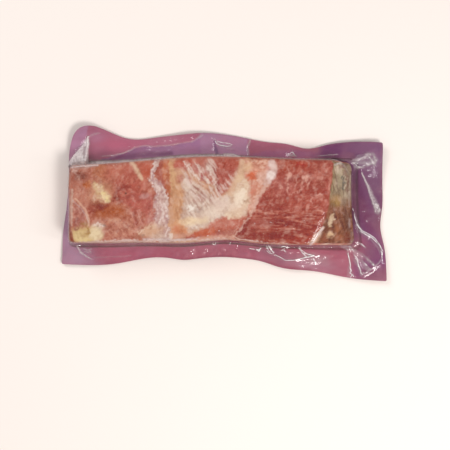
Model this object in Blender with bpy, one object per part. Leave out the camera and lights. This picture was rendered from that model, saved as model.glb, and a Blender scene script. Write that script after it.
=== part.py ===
"""Vacuum-sealed slab of bacon lying on its back film.

One closed solid: the slab drawn tight in its bag, and the flat rim of film that
stands out all round it.  The surface starts as a grid over the top of the slab.
Its border is then extruded ring by ring: over the rounded top edge, down the
walls, through the foot fillet, out along the rim to the cut edge of the bag,
round that edge and back underneath to the flat underside.

Frame: +X along the slab, +Y to its back, +Z up, origin at the middle of the
bounding box's floor.  Sizes below are in millimetres.
"""

import math

import bmesh
import bpy
from mathutils import Vector

MM = 0.001

# ---- driving sizes (mm) ----------------------------------------------------
SLAB_HEIGHT = 32.0        # thickness of the slab
TOP_ROUND = 4.0           # radius of the slab's top edge
FOOT_FILLET = 4.5         # radius where the film leaves the wall for the rim
RIM_ROOT = 4.6            # height of the rim where it leaves the slab
RIM_EDGE = 1.6            # height of the rim at the cut edge
RIM_THICK = 1.0           # rim: two films, drawn thicker than the real ones
UNDER_ROUND = 4.5         # how far the flat underside stays inside the foot

TOP_CELLS = (46, 15)      # grid over the slab's top
ROUND_STEPS, WALL_STEPS, FILLET_STEPS, RIM_STEPS = 4, 4, 3, 5

# Corners run front left, front right, back right, back left.
# Waves are (place along the side, outward rise, half width): place is x on the
# front and back sides and y on the right and left ones.
TOP_EDGE = {
    "corners": ((-143.4, -38.6), (81.0, -40.6), (106.0, 39.8), (-143.4, 34.6)),
    "waves": (
        ((2.0, -3.8, 20.0), (-75.0, -0.7, 18.0)),
        ((-2.0, 4.2, 20.0),),
        ((-18.0, 6.0, 52.0),),
        ((15.0, 1.0, 12.0),),
    ),
    "radius": (5.0, 6.0, 6.0, 5.0),
}
FOOT = {
    "corners": ((-144.6, -39.4), (128.6, -41.2), (125.6, 41.2), (-144.6, 36.2)),
    "waves": (
        ((2.0, -3.6, 20.0), (-75.0, -0.7, 18.0)),
        ((4.0, -1.6, 22.0),),
        ((-18.0, 5.8, 52.0),),
        ((15.0, 0.8, 12.0),),
    ),
    "radius": (6.0, 8.0, 8.0, 6.0),
}
CUT_EDGE = {
    "corners": ((-152.6, -57.2), (153.8, -73.4), (151.2, 57.8), (-139.0, 77.4)),
    "waves": (
        ((-66.0, -9.0, 24.0), (4.0, -14.6, 34.0), (36.0, -2.6, 12.0), (84.0, -5.0, 21.0), (-38.0, 1.4, 8.0)),
        ((-22.0, -4.0, 12.0), (18.0, -0.9, 22.0)),
        ((-86.0, -12.2, 21.0), (-45.0, -4.2, 18.0), (8.0, -1.4, 20.0), (46.0, -6.2, 20.0), (82.0, -8.6, 13.0), (108.0, -2.0, 12.0)),
        ((22.0, 1.9, 26.0), (-27.0, 1.6, 12.0), (49.0, 2.8, 13.0)),
    ),
    "radius": (2.0, 2.0, 2.0, 19.0),
}

# Lift of the rim above the surface: (x, y, rise, spread)
RIM_LIFTS = (
    (-136.0, 74.0, 8.0, 22.0),    # back left corner curls up
    (148.0, 54.0, 4.5, 20.0),
    (152.0, -72.0, 3.5, 22.0),
    (-152.0, -57.0, 2.0, 16.0),
    (-30.0, 66.0, 3.2, 26.0),     # swells between the scallops
    (112.0, 56.0, 1.6, 14.0),
    (-40.0, -55.0, 1.8, 14.0),
    (64.0, -62.0, 2.2, 16.0),
)
# Gathered film standing out from each corner of the slab:
# (corner x, y, direction in degrees, length, height, half width)
EARS = (
    (-140.0, 33.0, 68.0, 32.0, 15.0, 7.0),
    (119.0, 36.0, 34.0, 28.0, 12.0, 7.0),
    (122.0, -40.0, -44.0, 33.0, 12.0, 7.0),
    (-139.0, -38.0, -42.0, 20.0, 8.0, 5.5),
)


def ease(t):
    t = min(1.0, max(0.0, t))
    return t * t * (3.0 - 2.0 * t)


def lerp(a, b, t):
    return a + (b - a) * t


def bezier(a, b, c, t):
    return a * (1 - t) ** 2 + b * (2 * t * (1 - t)) + c * t * t


def slab_top(x, y):
    """Height of the slab's top: level, with the low swells of a pressed slab."""
    swell = 0.9 * math.sin(x / 41.0 + 0.6) * math.cos(y / 33.0)
    swell += 0.5 * math.sin(x / 17.0 - y / 23.0 + 1.1)
    swell -= 0.9 * math.exp(-((x + 60.0) / 9.0) ** 2)      # seam between two muscles
    swell += 1.0 * math.exp(-(((x - 18.0) / 22.0) ** 2 + ((y - 8.0) / 20.0) ** 2))
    swell -= 1.2 * ease((x - 70.0) / 50.0)
    return SLAB_HEIGHT - 1.0 + swell


def side_point(ring, side, at):
    """Point of a ring's side where x (front, back) or y (right, left) is at."""
    a = Vector(ring["corners"][side])
    b = Vector(ring["corners"][(side + 1) % 4])
    axis = side % 2
    t = (at - a[axis]) / (b[axis] - a[axis])
    along = (b - a).normalized()
    outward = Vector((along.y, -along.x))
    rise = sum(r * math.exp(-((at - c) / w) ** 2 / 2) for c, r, w in ring["waves"][side])
    near = min(t, 1.0 - t) * (b - a).length
    return lerp(a, b, t) + outward * rise * ease(near / 16.0)


def ring_point(ring, side, share):
    """Point of a ring at a share of one side, with its corners rounded."""
    start = ring["corners"][side][side % 2]
    end = ring["corners"][(side + 1) % 4][side % 2]
    length = abs(end - start)
    for corner, dist, sign in ((side, share * length, 1), ((side + 1) % 4, (1 - share) * length, -1)):
        radius = ring["radius"][corner]
        if dist < radius:
            here = Vector(ring["corners"][corner])
            prev_side, next_side = (corner - 1) % 4, corner
            p_axis, n_axis = prev_side % 2, next_side % 2
            p_dir = math.copysign(1.0, ring["corners"][prev_side][p_axis] - here[p_axis])
            n_dir = math.copysign(1.0, ring["corners"][(corner + 1) % 4][n_axis] - here[n_axis])
            before = side_point(ring, prev_side, here[p_axis] + p_dir * radius)
            after = side_point(ring, next_side, here[n_axis] + n_dir * radius)
            return bezier(before, here, after, 0.5 + 0.5 * sign * dist / radius)
    return side_point(ring, side, lerp(start, end, share))


def shared_share(inner, outer, side, share):
    """Share along outer's side that lies straight out from inner's, fanning only near the corners."""
    axis = side % 2
    a_in, b_in = inner["corners"][side][axis], inner["corners"][(side + 1) % 4][axis]
    a_out, b_out = outer["corners"][side][axis], outer["corners"][(side + 1) % 4][axis]
    at = lerp(a_in, b_in, share)
    reach = 0.30 if axis == 0 else 0.5
    at += (a_out - a_in) * ease(1 - share / reach)
    at += (b_out - b_in) * ease(1 - (1 - share) / reach)
    return min(1.0, max(0.0, (at - a_out) / (b_out - a_out)))


def inset(ring, by, radius):
    """A ring drawn in by a distance on every side."""
    corners = tuple((x - math.copysign(by, x), y - math.copysign(by, y)) for x, y in ring["corners"])
    return {"corners": corners, "waves": ring["waves"], "radius": (radius,) * 4}


INNER = inset(TOP_EDGE, TOP_ROUND, 0.0)      # border of the level top
UNDER = inset(FOOT, UNDER_ROUND, 3.0)        # border of the flat underside


def rim_height(p, share):
    """Height of the rim's top at a plan point, share 0 at the slab and 1 at the cut edge."""
    z = lerp(RIM_ROOT, RIM_EDGE, ease(share))
    z += sum(h * math.exp(-((p.x - x) ** 2 + (p.y - y) ** 2) / (2 * s * s)) for x, y, h, s in RIM_LIFTS)
    z += 0.45 * share * math.sin(p.x / 9.5 + p.y / 13.0)
    return max(z, RIM_THICK + 0.45)


def ear_height(p):
    """Rise of the gathered film over the rim near the slab's corners."""
    best = 0.0
    for x, y, angle, length, height, width in EARS:
        d = Vector((math.cos(math.radians(angle)), math.sin(math.radians(angle))))
        r = p - Vector((x, y))
        along, across = r.dot(d), r.x * d.y - r.y * d.x
        if -8.0 < along < length:
            fall = (1 - ease(along / length)) * ease((along + 8.0) / 8.0)
            best = max(best, height * fall * math.exp(-((across / (width * (0.6 + 0.5 * along / length))) ** 2)))
    return best


def spoke(side, share):
    """The ring-by-ring path of one border vertex, from the slab's top out to the cut edge and back below."""
    inner = ring_point(INNER, side, share)
    edge = ring_point(TOP_EDGE, side, shared_share(INNER, TOP_EDGE, side, share))
    foot = ring_point(FOOT, side, shared_share(INNER, FOOT, side, share))
    cut = ring_point(CUT_EDGE, side, shared_share(INNER, CUT_EDGE, side, share))
    t3 = Vector((*inner, slab_top(*inner)))
    e3 = Vector((*edge, slab_top(*edge) - 0.6))
    f3 = Vector((*foot, rim_height(foot, 0.0)))
    wall = f3 - e3
    low_round = e3 + wall * min(0.45, TOP_ROUND / wall.length)
    high_fillet = f3 - wall * min(0.3, FOOT_FILLET / wall.length)
    reach = min(0.45, FOOT_FILLET / (cut - foot).length)
    out = lerp(foot, cut, reach)
    g3 = Vector((*out, rim_height(out, reach)))
    path = [bezier(t3, e3, low_round, k / ROUND_STEPS) for k in range(1, ROUND_STEPS + 1)]
    path += [lerp(low_round, high_fillet, k / WALL_STEPS) for k in range(1, WALL_STEPS + 1)]
    path += [bezier(high_fillet, f3, g3, k / FILLET_STEPS) for k in range(1, FILLET_STEPS + 1)]
    for k in range(1, RIM_STEPS + 1):
        s = lerp(reach, 1.0, k / RIM_STEPS)
        p = lerp(foot, cut, s)
        path.append(Vector((*p, rim_height(p, s))))
    first_rim = ROUND_STEPS + WALL_STEPS
    for k in range(first_rim, len(path)):
        lift = ear_height(path[k].xy)
        path[k].z = max(path[k].z, min(path[k].z + lift, slab_top(*edge) - 2.0))
    flat = ring_point(UNDER, side, shared_share(INNER, UNDER, side, share))
    below = [path[-1] - Vector((0, 0, RIM_THICK))]
    for s in (0.6, 0.25, 0.04):
        p = lerp(foot, cut, s)
        below.append(Vector((*p, rim_height(p, s) - RIM_THICK)))
    tucked = lerp(foot, flat, 0.45)
    below.append(Vector((*tucked, 1.6)))
    below.append(Vector((*flat, 0.0)))
    return path + below


def coons(u, v):
    """Point inside the slab's inner top ring, from its four sides."""
    front, back = ring_point(INNER, 0, u), ring_point(INNER, 2, 1 - u)
    right, left = ring_point(INNER, 1, v), ring_point(INNER, 3, 1 - v)
    c = [Vector(p) for p in INNER["corners"]]
    flat = lerp(lerp(c[0], c[1], u), lerp(c[3], c[2], u), v)
    return lerp(front, back, v) + lerp(left, right, u) - flat


def sealed_pack():
    nx, ny = TOP_CELLS
    mesh = bpy.data.meshes.new("sealed_pack")
    bm = bmesh.new()
    bmesh.ops.create_grid(bm, x_segments=nx, y_segments=ny, size=1.0)
    bm.verts.ensure_lookup_table()
    at = {}
    for v in bm.verts:
        i, j = round((v.co.x + 1) / 2 * nx), round((v.co.y + 1) / 2 * ny)
        at[i, j] = v
    for (i, j), v in at.items():
        p = coons(i / nx, j / ny)
        v.co = Vector((p.x, p.y, slab_top(p.x, p.y)))
    order = [(i, 0, 0, i / nx) for i in range(nx)]
    order += [(nx, j, 1, j / ny) for j in range(ny)]
    order += [(i, ny, 2, 1 - i / nx) for i in range(nx, 0, -1)]
    order += [(0, j, 3, 1 - j / ny) for j in range(ny, 0, -1)]
    loop = [at[i, j] for i, j, _, _ in order]
    spokes = [spoke(side, share) for _, _, side, share in order]
    for k in range(len(spokes[0])):
        edges = [bm.edges.get((loop[n], loop[(n + 1) % len(loop)])) for n in range(len(loop))]
        made = bmesh.ops.extrude_edge_only(bm, edges=edges)["geom"]
        fresh = {g for g in made if isinstance(g, bmesh.types.BMVert)}
        # each new vertex is the other end of the one edge that leaves its old one
        loop = [next(e.other_vert(v) for e in v.link_edges if e.other_vert(v) in fresh) for v in loop]
        for v, path in zip(loop, spokes):
            v.co = path[k]
    bmesh.ops.contextual_create(bm, geom=[bm.edges.get((loop[n], loop[(n + 1) % len(loop)])) for n in range(len(loop))])
    bmesh.ops.recalc_face_normals(bm, faces=bm.faces)
    low = Vector([min(v.co[a] for v in bm.verts) for a in range(3)])
    high = Vector([max(v.co[a] for v in bm.verts) for a in range(3)])
    middle = (low + high) / 2
    bmesh.ops.translate(bm, verts=bm.verts, vec=(-middle.x, -middle.y, -low.z))
    bmesh.ops.scale(bm, verts=bm.verts, vec=(MM, MM, MM))
    bm.to_mesh(mesh)
    bm.free()
    mesh.shade_smooth()
    mesh.set_sharp_from_angle(angle=math.radians(50))
    return bpy.data.objects.new("sealed_pack", mesh)


def film_over_bacon():
    material = bpy.data.materials.new("film_over_bacon")
    material.use_nodes = True
    shader = material.node_tree.nodes["Principled BSDF"]
    shader.inputs["Base Color"].default_value = (0.40, 0.14, 0.12, 1.0)
    shader.inputs["Roughness"].default_value = 0.22
    shader.inputs["Metallic"].default_value = 0.0
    return material


def main():
    for obj in list(bpy.data.objects):
        bpy.data.objects.remove(obj, do_unlink=True)
    collection = bpy.data.collections.new("bacon_pack")
    bpy.context.scene.collection.children.link(collection)
    pack = sealed_pack()
    pack.data.materials.append(film_over_bacon())
    collection.objects.link(pack)


main()
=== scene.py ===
"""Looks of the vacuum-sealed slab of bacon: the meat, the clear film drawn over
it and the tinted film under it.  Lengths below are in millimetres."""

import math

import bpy
import numpy as np
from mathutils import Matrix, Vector
from mathutils.bvhtree import BVHTree


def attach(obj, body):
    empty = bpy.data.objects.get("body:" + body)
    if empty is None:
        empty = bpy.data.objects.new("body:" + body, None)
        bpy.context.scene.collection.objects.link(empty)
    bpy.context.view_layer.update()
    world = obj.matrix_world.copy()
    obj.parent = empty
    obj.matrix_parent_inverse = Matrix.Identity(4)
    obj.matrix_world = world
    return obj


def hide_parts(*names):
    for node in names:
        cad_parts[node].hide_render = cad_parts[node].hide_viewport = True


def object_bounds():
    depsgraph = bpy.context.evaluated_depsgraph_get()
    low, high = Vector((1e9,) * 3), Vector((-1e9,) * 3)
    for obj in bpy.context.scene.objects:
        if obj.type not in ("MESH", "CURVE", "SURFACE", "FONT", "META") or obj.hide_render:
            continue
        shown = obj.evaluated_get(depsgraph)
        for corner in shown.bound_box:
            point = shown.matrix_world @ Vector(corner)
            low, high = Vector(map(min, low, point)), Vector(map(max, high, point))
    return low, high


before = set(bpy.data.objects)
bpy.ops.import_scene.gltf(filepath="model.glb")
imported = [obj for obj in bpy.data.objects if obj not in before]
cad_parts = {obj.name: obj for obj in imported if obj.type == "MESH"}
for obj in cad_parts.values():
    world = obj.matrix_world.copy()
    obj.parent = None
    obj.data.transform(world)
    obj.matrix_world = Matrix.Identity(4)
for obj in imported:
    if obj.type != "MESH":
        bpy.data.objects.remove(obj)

CAD_LOW, CAD_HIGH = [np.array(tuple(c), dtype=float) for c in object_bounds()]
MM = 0.001
HEIGHT = 32.0          # slab
TOP_ROUND = 3.6

TOP_EDGE = {
    "corners": ((-143.4, -38.6), (81.0, -40.6), (106.0, 39.8), (-143.4, 34.6)),
    "waves": (
        ((2.0, -3.8, 20.0), (-75.0, -0.7, 18.0)),
        ((-2.0, 4.2, 20.0),),
        ((-18.0, 6.0, 52.0),),
        ((15.0, 1.0, 12.0),),
    ),
    "radius": (5.0, 6.0, 6.0, 5.0),
}
FOOT = {
    "corners": ((-144.6, -39.4), (128.6, -41.2), (125.6, 41.2), (-144.6, 36.2)),
    "waves": (
        ((2.0, -3.6, 20.0), (-75.0, -0.7, 18.0)),
        ((4.0, -1.6, 22.0),),
        ((-18.0, 5.8, 52.0),),
        ((15.0, 0.8, 12.0),),
    ),
    "radius": (6.0, 8.0, 8.0, 6.0),
}
CUT_EDGE = {
    "corners": ((-152.6, -57.2), (153.8, -73.4), (151.2, 57.8), (-139.0, 77.4)),
    "waves": (
        ((-66.0, -9.0, 24.0), (4.0, -14.6, 34.0), (36.0, -2.6, 12.0), (84.0, -5.0, 21.0), (-38.0, 1.4, 8.0)),
        ((-22.0, -4.0, 12.0), (18.0, -0.9, 22.0)),
        ((-86.0, -12.2, 21.0), (-45.0, -4.2, 18.0), (8.0, -1.4, 20.0), (46.0, -6.2, 20.0), (82.0, -8.6, 13.0), (108.0, -2.0, 12.0)),
        ((22.0, 1.9, 26.0), (-27.0, 1.6, 12.0), (49.0, 2.8, 13.0)),
    ),
    "radius": (2.0, 2.0, 2.0, 19.0),
}
RIM_LIFTS = (
    (-136.0, 74.0, 8.0, 22.0), (148.0, 54.0, 4.5, 20.0), (152.0, -72.0, 3.5, 22.0),
    (-152.0, -57.0, 2.0, 16.0), (-30.0, 66.0, 3.2, 26.0), (112.0, 56.0, 1.6, 14.0),
    (-40.0, -55.0, 1.8, 14.0), (64.0, -62.0, 2.2, 16.0),
)


# ---- small maths -----------------------------------------------------------
def ease(t):
    t = np.clip(t, 0.0, 1.0)
    return t * t * (3.0 - 2.0 * t)


def step(lo, hi, t):
    return ease((t - lo) / (hi - lo))


def mix(a, b, t):
    return a + (b - a) * t


def cell(ix, iy, seed):
    h = (ix.astype(np.int64) * 374761393 + iy.astype(np.int64) * 668265263 + seed * 1442695041) & 0xFFFFFFFF
    h = ((h ^ (h >> 13)) * 1274126177) & 0xFFFFFFFF
    h = h ^ (h >> 16)
    return (h & 0xFFFFFF) / float(0xFFFFFF)


def noise(x, y, seed=0):
    """Smooth value noise, -1 to 1."""
    ix, iy = np.floor(x), np.floor(y)
    fx, fy = ease(x - ix), ease(y - iy)
    lower = mix(cell(ix, iy, seed), cell(ix + 1, iy, seed), fx)
    upper = mix(cell(ix, iy + 1, seed), cell(ix + 1, iy + 1, seed), fx)
    return mix(lower, upper, fy) * 2.0 - 1.0


def fbm(x, y, seed=0, octaves=4, gain=0.5):
    total, amp, size = 0.0, 1.0, 0.0
    for o in range(octaves):
        c, s = math.cos(0.7 * o), math.sin(0.7 * o)
        total = total + amp * noise((x * c - y * s) * 2 ** o + 7.3 * o, (x * s + y * c) * 2 ** o - 3.1 * o, seed + o)
        size += amp
        amp *= gain
    return total / size


def srgb(r, g, b):
    """A colour given as it looks, 0 to 255, in the linear numbers that shaders take."""
    c = np.array([r, g, b], dtype=float) / 255.0
    return np.where(c <= 0.04045, c / 12.92, ((c + 0.055) / 1.055) ** 2.4)


# ---- rings -----------------------------------------------------------------
def side_points(ring, side, at):
    a, b = np.array(ring["corners"][side]), np.array(ring["corners"][(side + 1) % 4])
    ax = side % 2
    t = (at - a[ax]) / (b[ax] - a[ax])
    length = np.linalg.norm(b - a)
    along = (b - a) / length
    rise = sum(r * np.exp(-(((at - c) / w) ** 2) / 2) for c, r, w in ring["waves"][side])
    rise = rise * ease(np.minimum(t, 1 - t) * length / 16.0)
    return a + (b - a) * t[:, None] + np.array([along[1], -along[0]]) * rise[:, None]


def ring_points(ring, side, share):
    start, end = ring["corners"][side][side % 2], ring["corners"][(side + 1) % 4][side % 2]
    length = abs(end - start)
    pts = side_points(ring, side, start + (end - start) * share)
    for corner, dist, sign in ((side, share * length, 1), ((side + 1) % 4, (1 - share) * length, -1)):
        radius = ring["radius"][corner]
        near = dist < radius
        if radius <= 0 or not near.any():
            continue
        here = np.array(ring["corners"][corner])
        back, ahead = (corner - 1) % 4, corner
        pa, na = back % 2, ahead % 2
        pd = math.copysign(1.0, ring["corners"][back][pa] - here[pa])
        nd = math.copysign(1.0, ring["corners"][(corner + 1) % 4][na] - here[na])
        before = side_points(ring, back, np.array([here[pa] + pd * radius]))[0]
        after = side_points(ring, ahead, np.array([here[na] + nd * radius]))[0]
        t = (0.5 + 0.5 * sign * dist[near] / radius)[:, None]
        pts[near] = before * (1 - t) ** 2 + here * (2 * t * (1 - t)) + after * t * t
    return pts


def fan_share(inner, outer, side, share):
    ax = side % 2
    a_in, b_in = inner["corners"][side][ax], inner["corners"][(side + 1) % 4][ax]
    a_out, b_out = outer["corners"][side][ax], outer["corners"][(side + 1) % 4][ax]
    reach = 0.30 if ax == 0 else 0.5
    at = a_in + (b_in - a_in) * share
    at = at + (a_out - a_in) * ease(1 - share / reach) + (b_out - b_in) * ease(1 - (1 - share) / reach)
    return np.clip((at - a_out) / (b_out - a_out), 0, 1)


def inset(ring, by, radius=None):
    corners = tuple((x - math.copysign(by, x), y - math.copysign(by, y)) for x, y in ring["corners"])
    return {"corners": corners, "waves": ring["waves"], "radius": (radius,) * 4 if radius is not None else ring["radius"]}


class Loop:
    """Border of an nx by ny grid, in order, and where it lands on any ring."""

    def __init__(self, nx, ny, inner):
        self.nx, self.ny, self.inner = nx, ny, inner
        ij = [(i, 0) for i in range(nx)] + [(nx, j) for j in range(ny)]
        ij += [(i, ny) for i in range(nx, 0, -1)] + [(0, j) for j in range(ny, 0, -1)]
        self.index = np.array([j * (nx + 1) + i for i, j in ij])
        self.side = np.repeat([0, 1, 2, 3], [nx, ny, nx, ny])
        self.share = np.concatenate([np.arange(n) / n for n in (nx, ny, nx, ny)])

    def on(self, ring):
        out = np.zeros((len(self.side), 2))
        for s in range(4):
            m = self.side == s
            share = self.share[m]
            if ring is not self.inner:
                share = fan_share(self.inner, ring, s, share)
            out[m] = ring_points(ring, s, share)
        return out

    def grid(self):
        """Plan points inside the inner ring."""
        u, v = np.arange(self.nx + 1) / self.nx, np.arange(self.ny + 1) / self.ny
        r = self.inner
        front, back = ring_points(r, 0, u), ring_points(r, 2, 1 - u)
        right, left = ring_points(r, 1, v), ring_points(r, 3, 1 - v)
        c = [np.array(p) for p in r["corners"]]
        U, V = np.meshgrid(u, v)
        U, V = U[..., None], V[..., None]
        flat = mix(mix(c[0], c[1], U), mix(c[3], c[2], U), V)
        p = mix(front[None], back[None], V) + mix(left[:, None], right[:, None], U) - flat
        return p.reshape(-1, 2)


def grid_faces(nx, ny, flip=False):
    i, j = np.meshgrid(np.arange(nx), np.arange(ny))
    a = (j * (nx + 1) + i).ravel()
    f = np.stack([a, a + 1, a + nx + 2, a + nx + 1], 1)
    return f[:, ::-1] if flip else f


def band_faces(rings):
    """Quads between one ring of vertices and the next, outward or downward."""
    out = []
    for a, b in zip(rings[:-1], rings[1:]):
        a2, b2 = np.roll(a, -1), np.roll(b, -1)
        out.append(np.stack([a, b, b2, a2], 1))
    return np.concatenate(out)


def bez(a, b, c, t):
    return a * (1 - t) ** 2 + b * (2 * t * (1 - t)) + c * t * t


def make_mesh(name, verts, faces, colours=(), extra_faces=()):
    mesh = bpy.data.meshes.new(name)
    mesh.from_pydata((verts * MM).tolist(), [], [list(map(int, f)) for f in faces] + [list(map(int, f)) for f in extra_faces])
    mesh.update()
    for key, value in colours:
        data = np.ones((len(verts), 4))
        data[:, : value.shape[1]] = value
        mesh.color_attributes.new(key, "FLOAT_COLOR", "POINT").data.foreach_set("color", data.astype(np.float32).ravel())
    mesh.shade_smooth()
    ob = bpy.data.objects.new(name, mesh)
    bpy.context.scene.collection.objects.link(ob)
    return ob


# ---- pattern sheets --------------------------------------------------------
class Sheet:
    """Draws soft shapes on a set of points.  a runs along the pack and b towards
    its front, in squares of the pattern."""

    def __init__(self, a, b, rough=1.2, grit=0.5, seed=0):
        self.a0, self.b0 = a, b
        self.a = a + rough * fbm(a / 7.0, b / 7.0, seed + 1, 3) + grit * fbm(a / 1.9, b / 1.9, seed + 5, 2)
        self.b = b + rough * fbm(a / 7.0, b / 7.0, seed + 9, 3) + grit * fbm(a / 1.9, b / 1.9, seed + 13, 2)

    def blob(self, a, b, ra, rb=None, turn=0.0, soft=0.5, true=False):
        rb = ra if rb is None else rb
        x, y = (self.a0, self.b0) if true else (self.a, self.b)
        c, s = math.cos(math.radians(turn)), math.sin(math.radians(turn))
        u, v = (x - a) * c + (y - b) * s, -(x - a) * s + (y - b) * c
        d = np.sqrt((u / ra) ** 2 + (v / rb) ** 2)
        return 1 - step(1 - soft, 1 + soft, d)

    def stroke(self, pts, soft=0.6, true=False):
        """Mask of a line through (a, b, half width) points."""
        x, y = (self.a0, self.b0) if true else (self.a, self.b)
        best = np.zeros_like(x)
        for (a0, b0, w0), (a1, b1, w1) in zip(pts[:-1], pts[1:]):
            da, db = a1 - a0, b1 - b0
            t = np.clip(((x - a0) * da + (y - b0) * db) / (da * da + db * db), 0, 1)
            d = np.hypot(x - a0 - da * t, y - b0 - db * t) / mix(w0, w1, t)
            best = np.maximum(best, 1 - step(1 - soft, 1 + soft, d))
        return best


def patch(p, pts, soft=1.0):
    """Mask of a filled outline given by its corners, with an edge about soft squares wide."""
    x, y = p.a, p.b
    inside = np.zeros(x.shape, bool)
    dist = np.full(x.shape, 1e9)
    n = len(pts)
    for k in range(n):
        (a0, b0), (a1, b1) = pts[k], pts[(k + 1) % n]
        da, db = a1 - a0, b1 - b0
        t = np.clip(((x - a0) * da + (y - b0) * db) / (da * da + db * db), 0, 1)
        dist = np.minimum(dist, np.hypot(x - a0 - da * t, y - b0 - db * t))
        if b0 != b1:
            crosses = ((b0 > y) != (b1 > y)) & (x < a0 + (y - b0) * da / db)
            inside ^= crosses
    return step(-soft, soft, np.where(inside, dist, -dist))


class Paint:
    def __init__(self, n, colour):
        self.rgb = np.tile(srgb(*colour), (n, 1))

    def lay(self, mask, colour, strength=1.0):
        m = np.clip(mask * strength, 0, 1)[:, None]
        self.rgb = self.rgb * (1 - m) + srgb(*colour) * m


# ---- heights ---------------------------------------------------------------
def slab_top(x, y):
    swell = 0.9 * np.sin(x / 41.0 + 0.6) * np.cos(y / 33.0)
    swell = swell + 0.5 * np.sin(x / 17.0 - y / 23.0 + 1.1)
    swell = swell - 0.9 * np.exp(-(((x + 60.0) / 9.0) ** 2))
    swell = swell + 1.0 * np.exp(-(((x - 18.0) / 22.0) ** 2 + ((y - 8.0) / 20.0) ** 2))
    swell = swell - 1.2 * ease((x - 70.0) / 50.0)
    return HEIGHT - 1.0 + swell


def rim_base(x, y, share):
    z = mix(4.2, 1.6, ease(share))
    for cx, cy, h, s in RIM_LIFTS:
        z = z + h * np.exp(-((x - cx) ** 2 + (y - cy) ** 2) / (2 * s * s))
    return z + 0.45 * share * np.sin(x / 9.5 + y / 13.0)


# The pattern squares: 0.92 mm on the slab's top, counted from near its back left
# corner, and 0.95 mm on the rim, counted from the bag's own back left.
def top_squares(x, y):
    return (x + 143.5) / 0.92, (33.3 - y) / 0.922


def rim_squares(x, y):
    return (x + 153.9) / 0.95, (75.7 - y) / 0.952


RAW_CUT = np.concatenate([ring_points(CUT_EDGE, s, np.linspace(0, 1, 60)) for s in range(4)])
SHIFT = (CAD_LOW[:2] + CAD_HIGH[:2]) / (2 * MM) - (RAW_CUT.min(0) + RAW_CUT.max(0)) / 2
FLOOR_Z = CAD_LOW[2] / MM


def placed(verts):
    return verts + np.array([SHIFT[0], SHIFT[1], FLOOR_Z])


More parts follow.
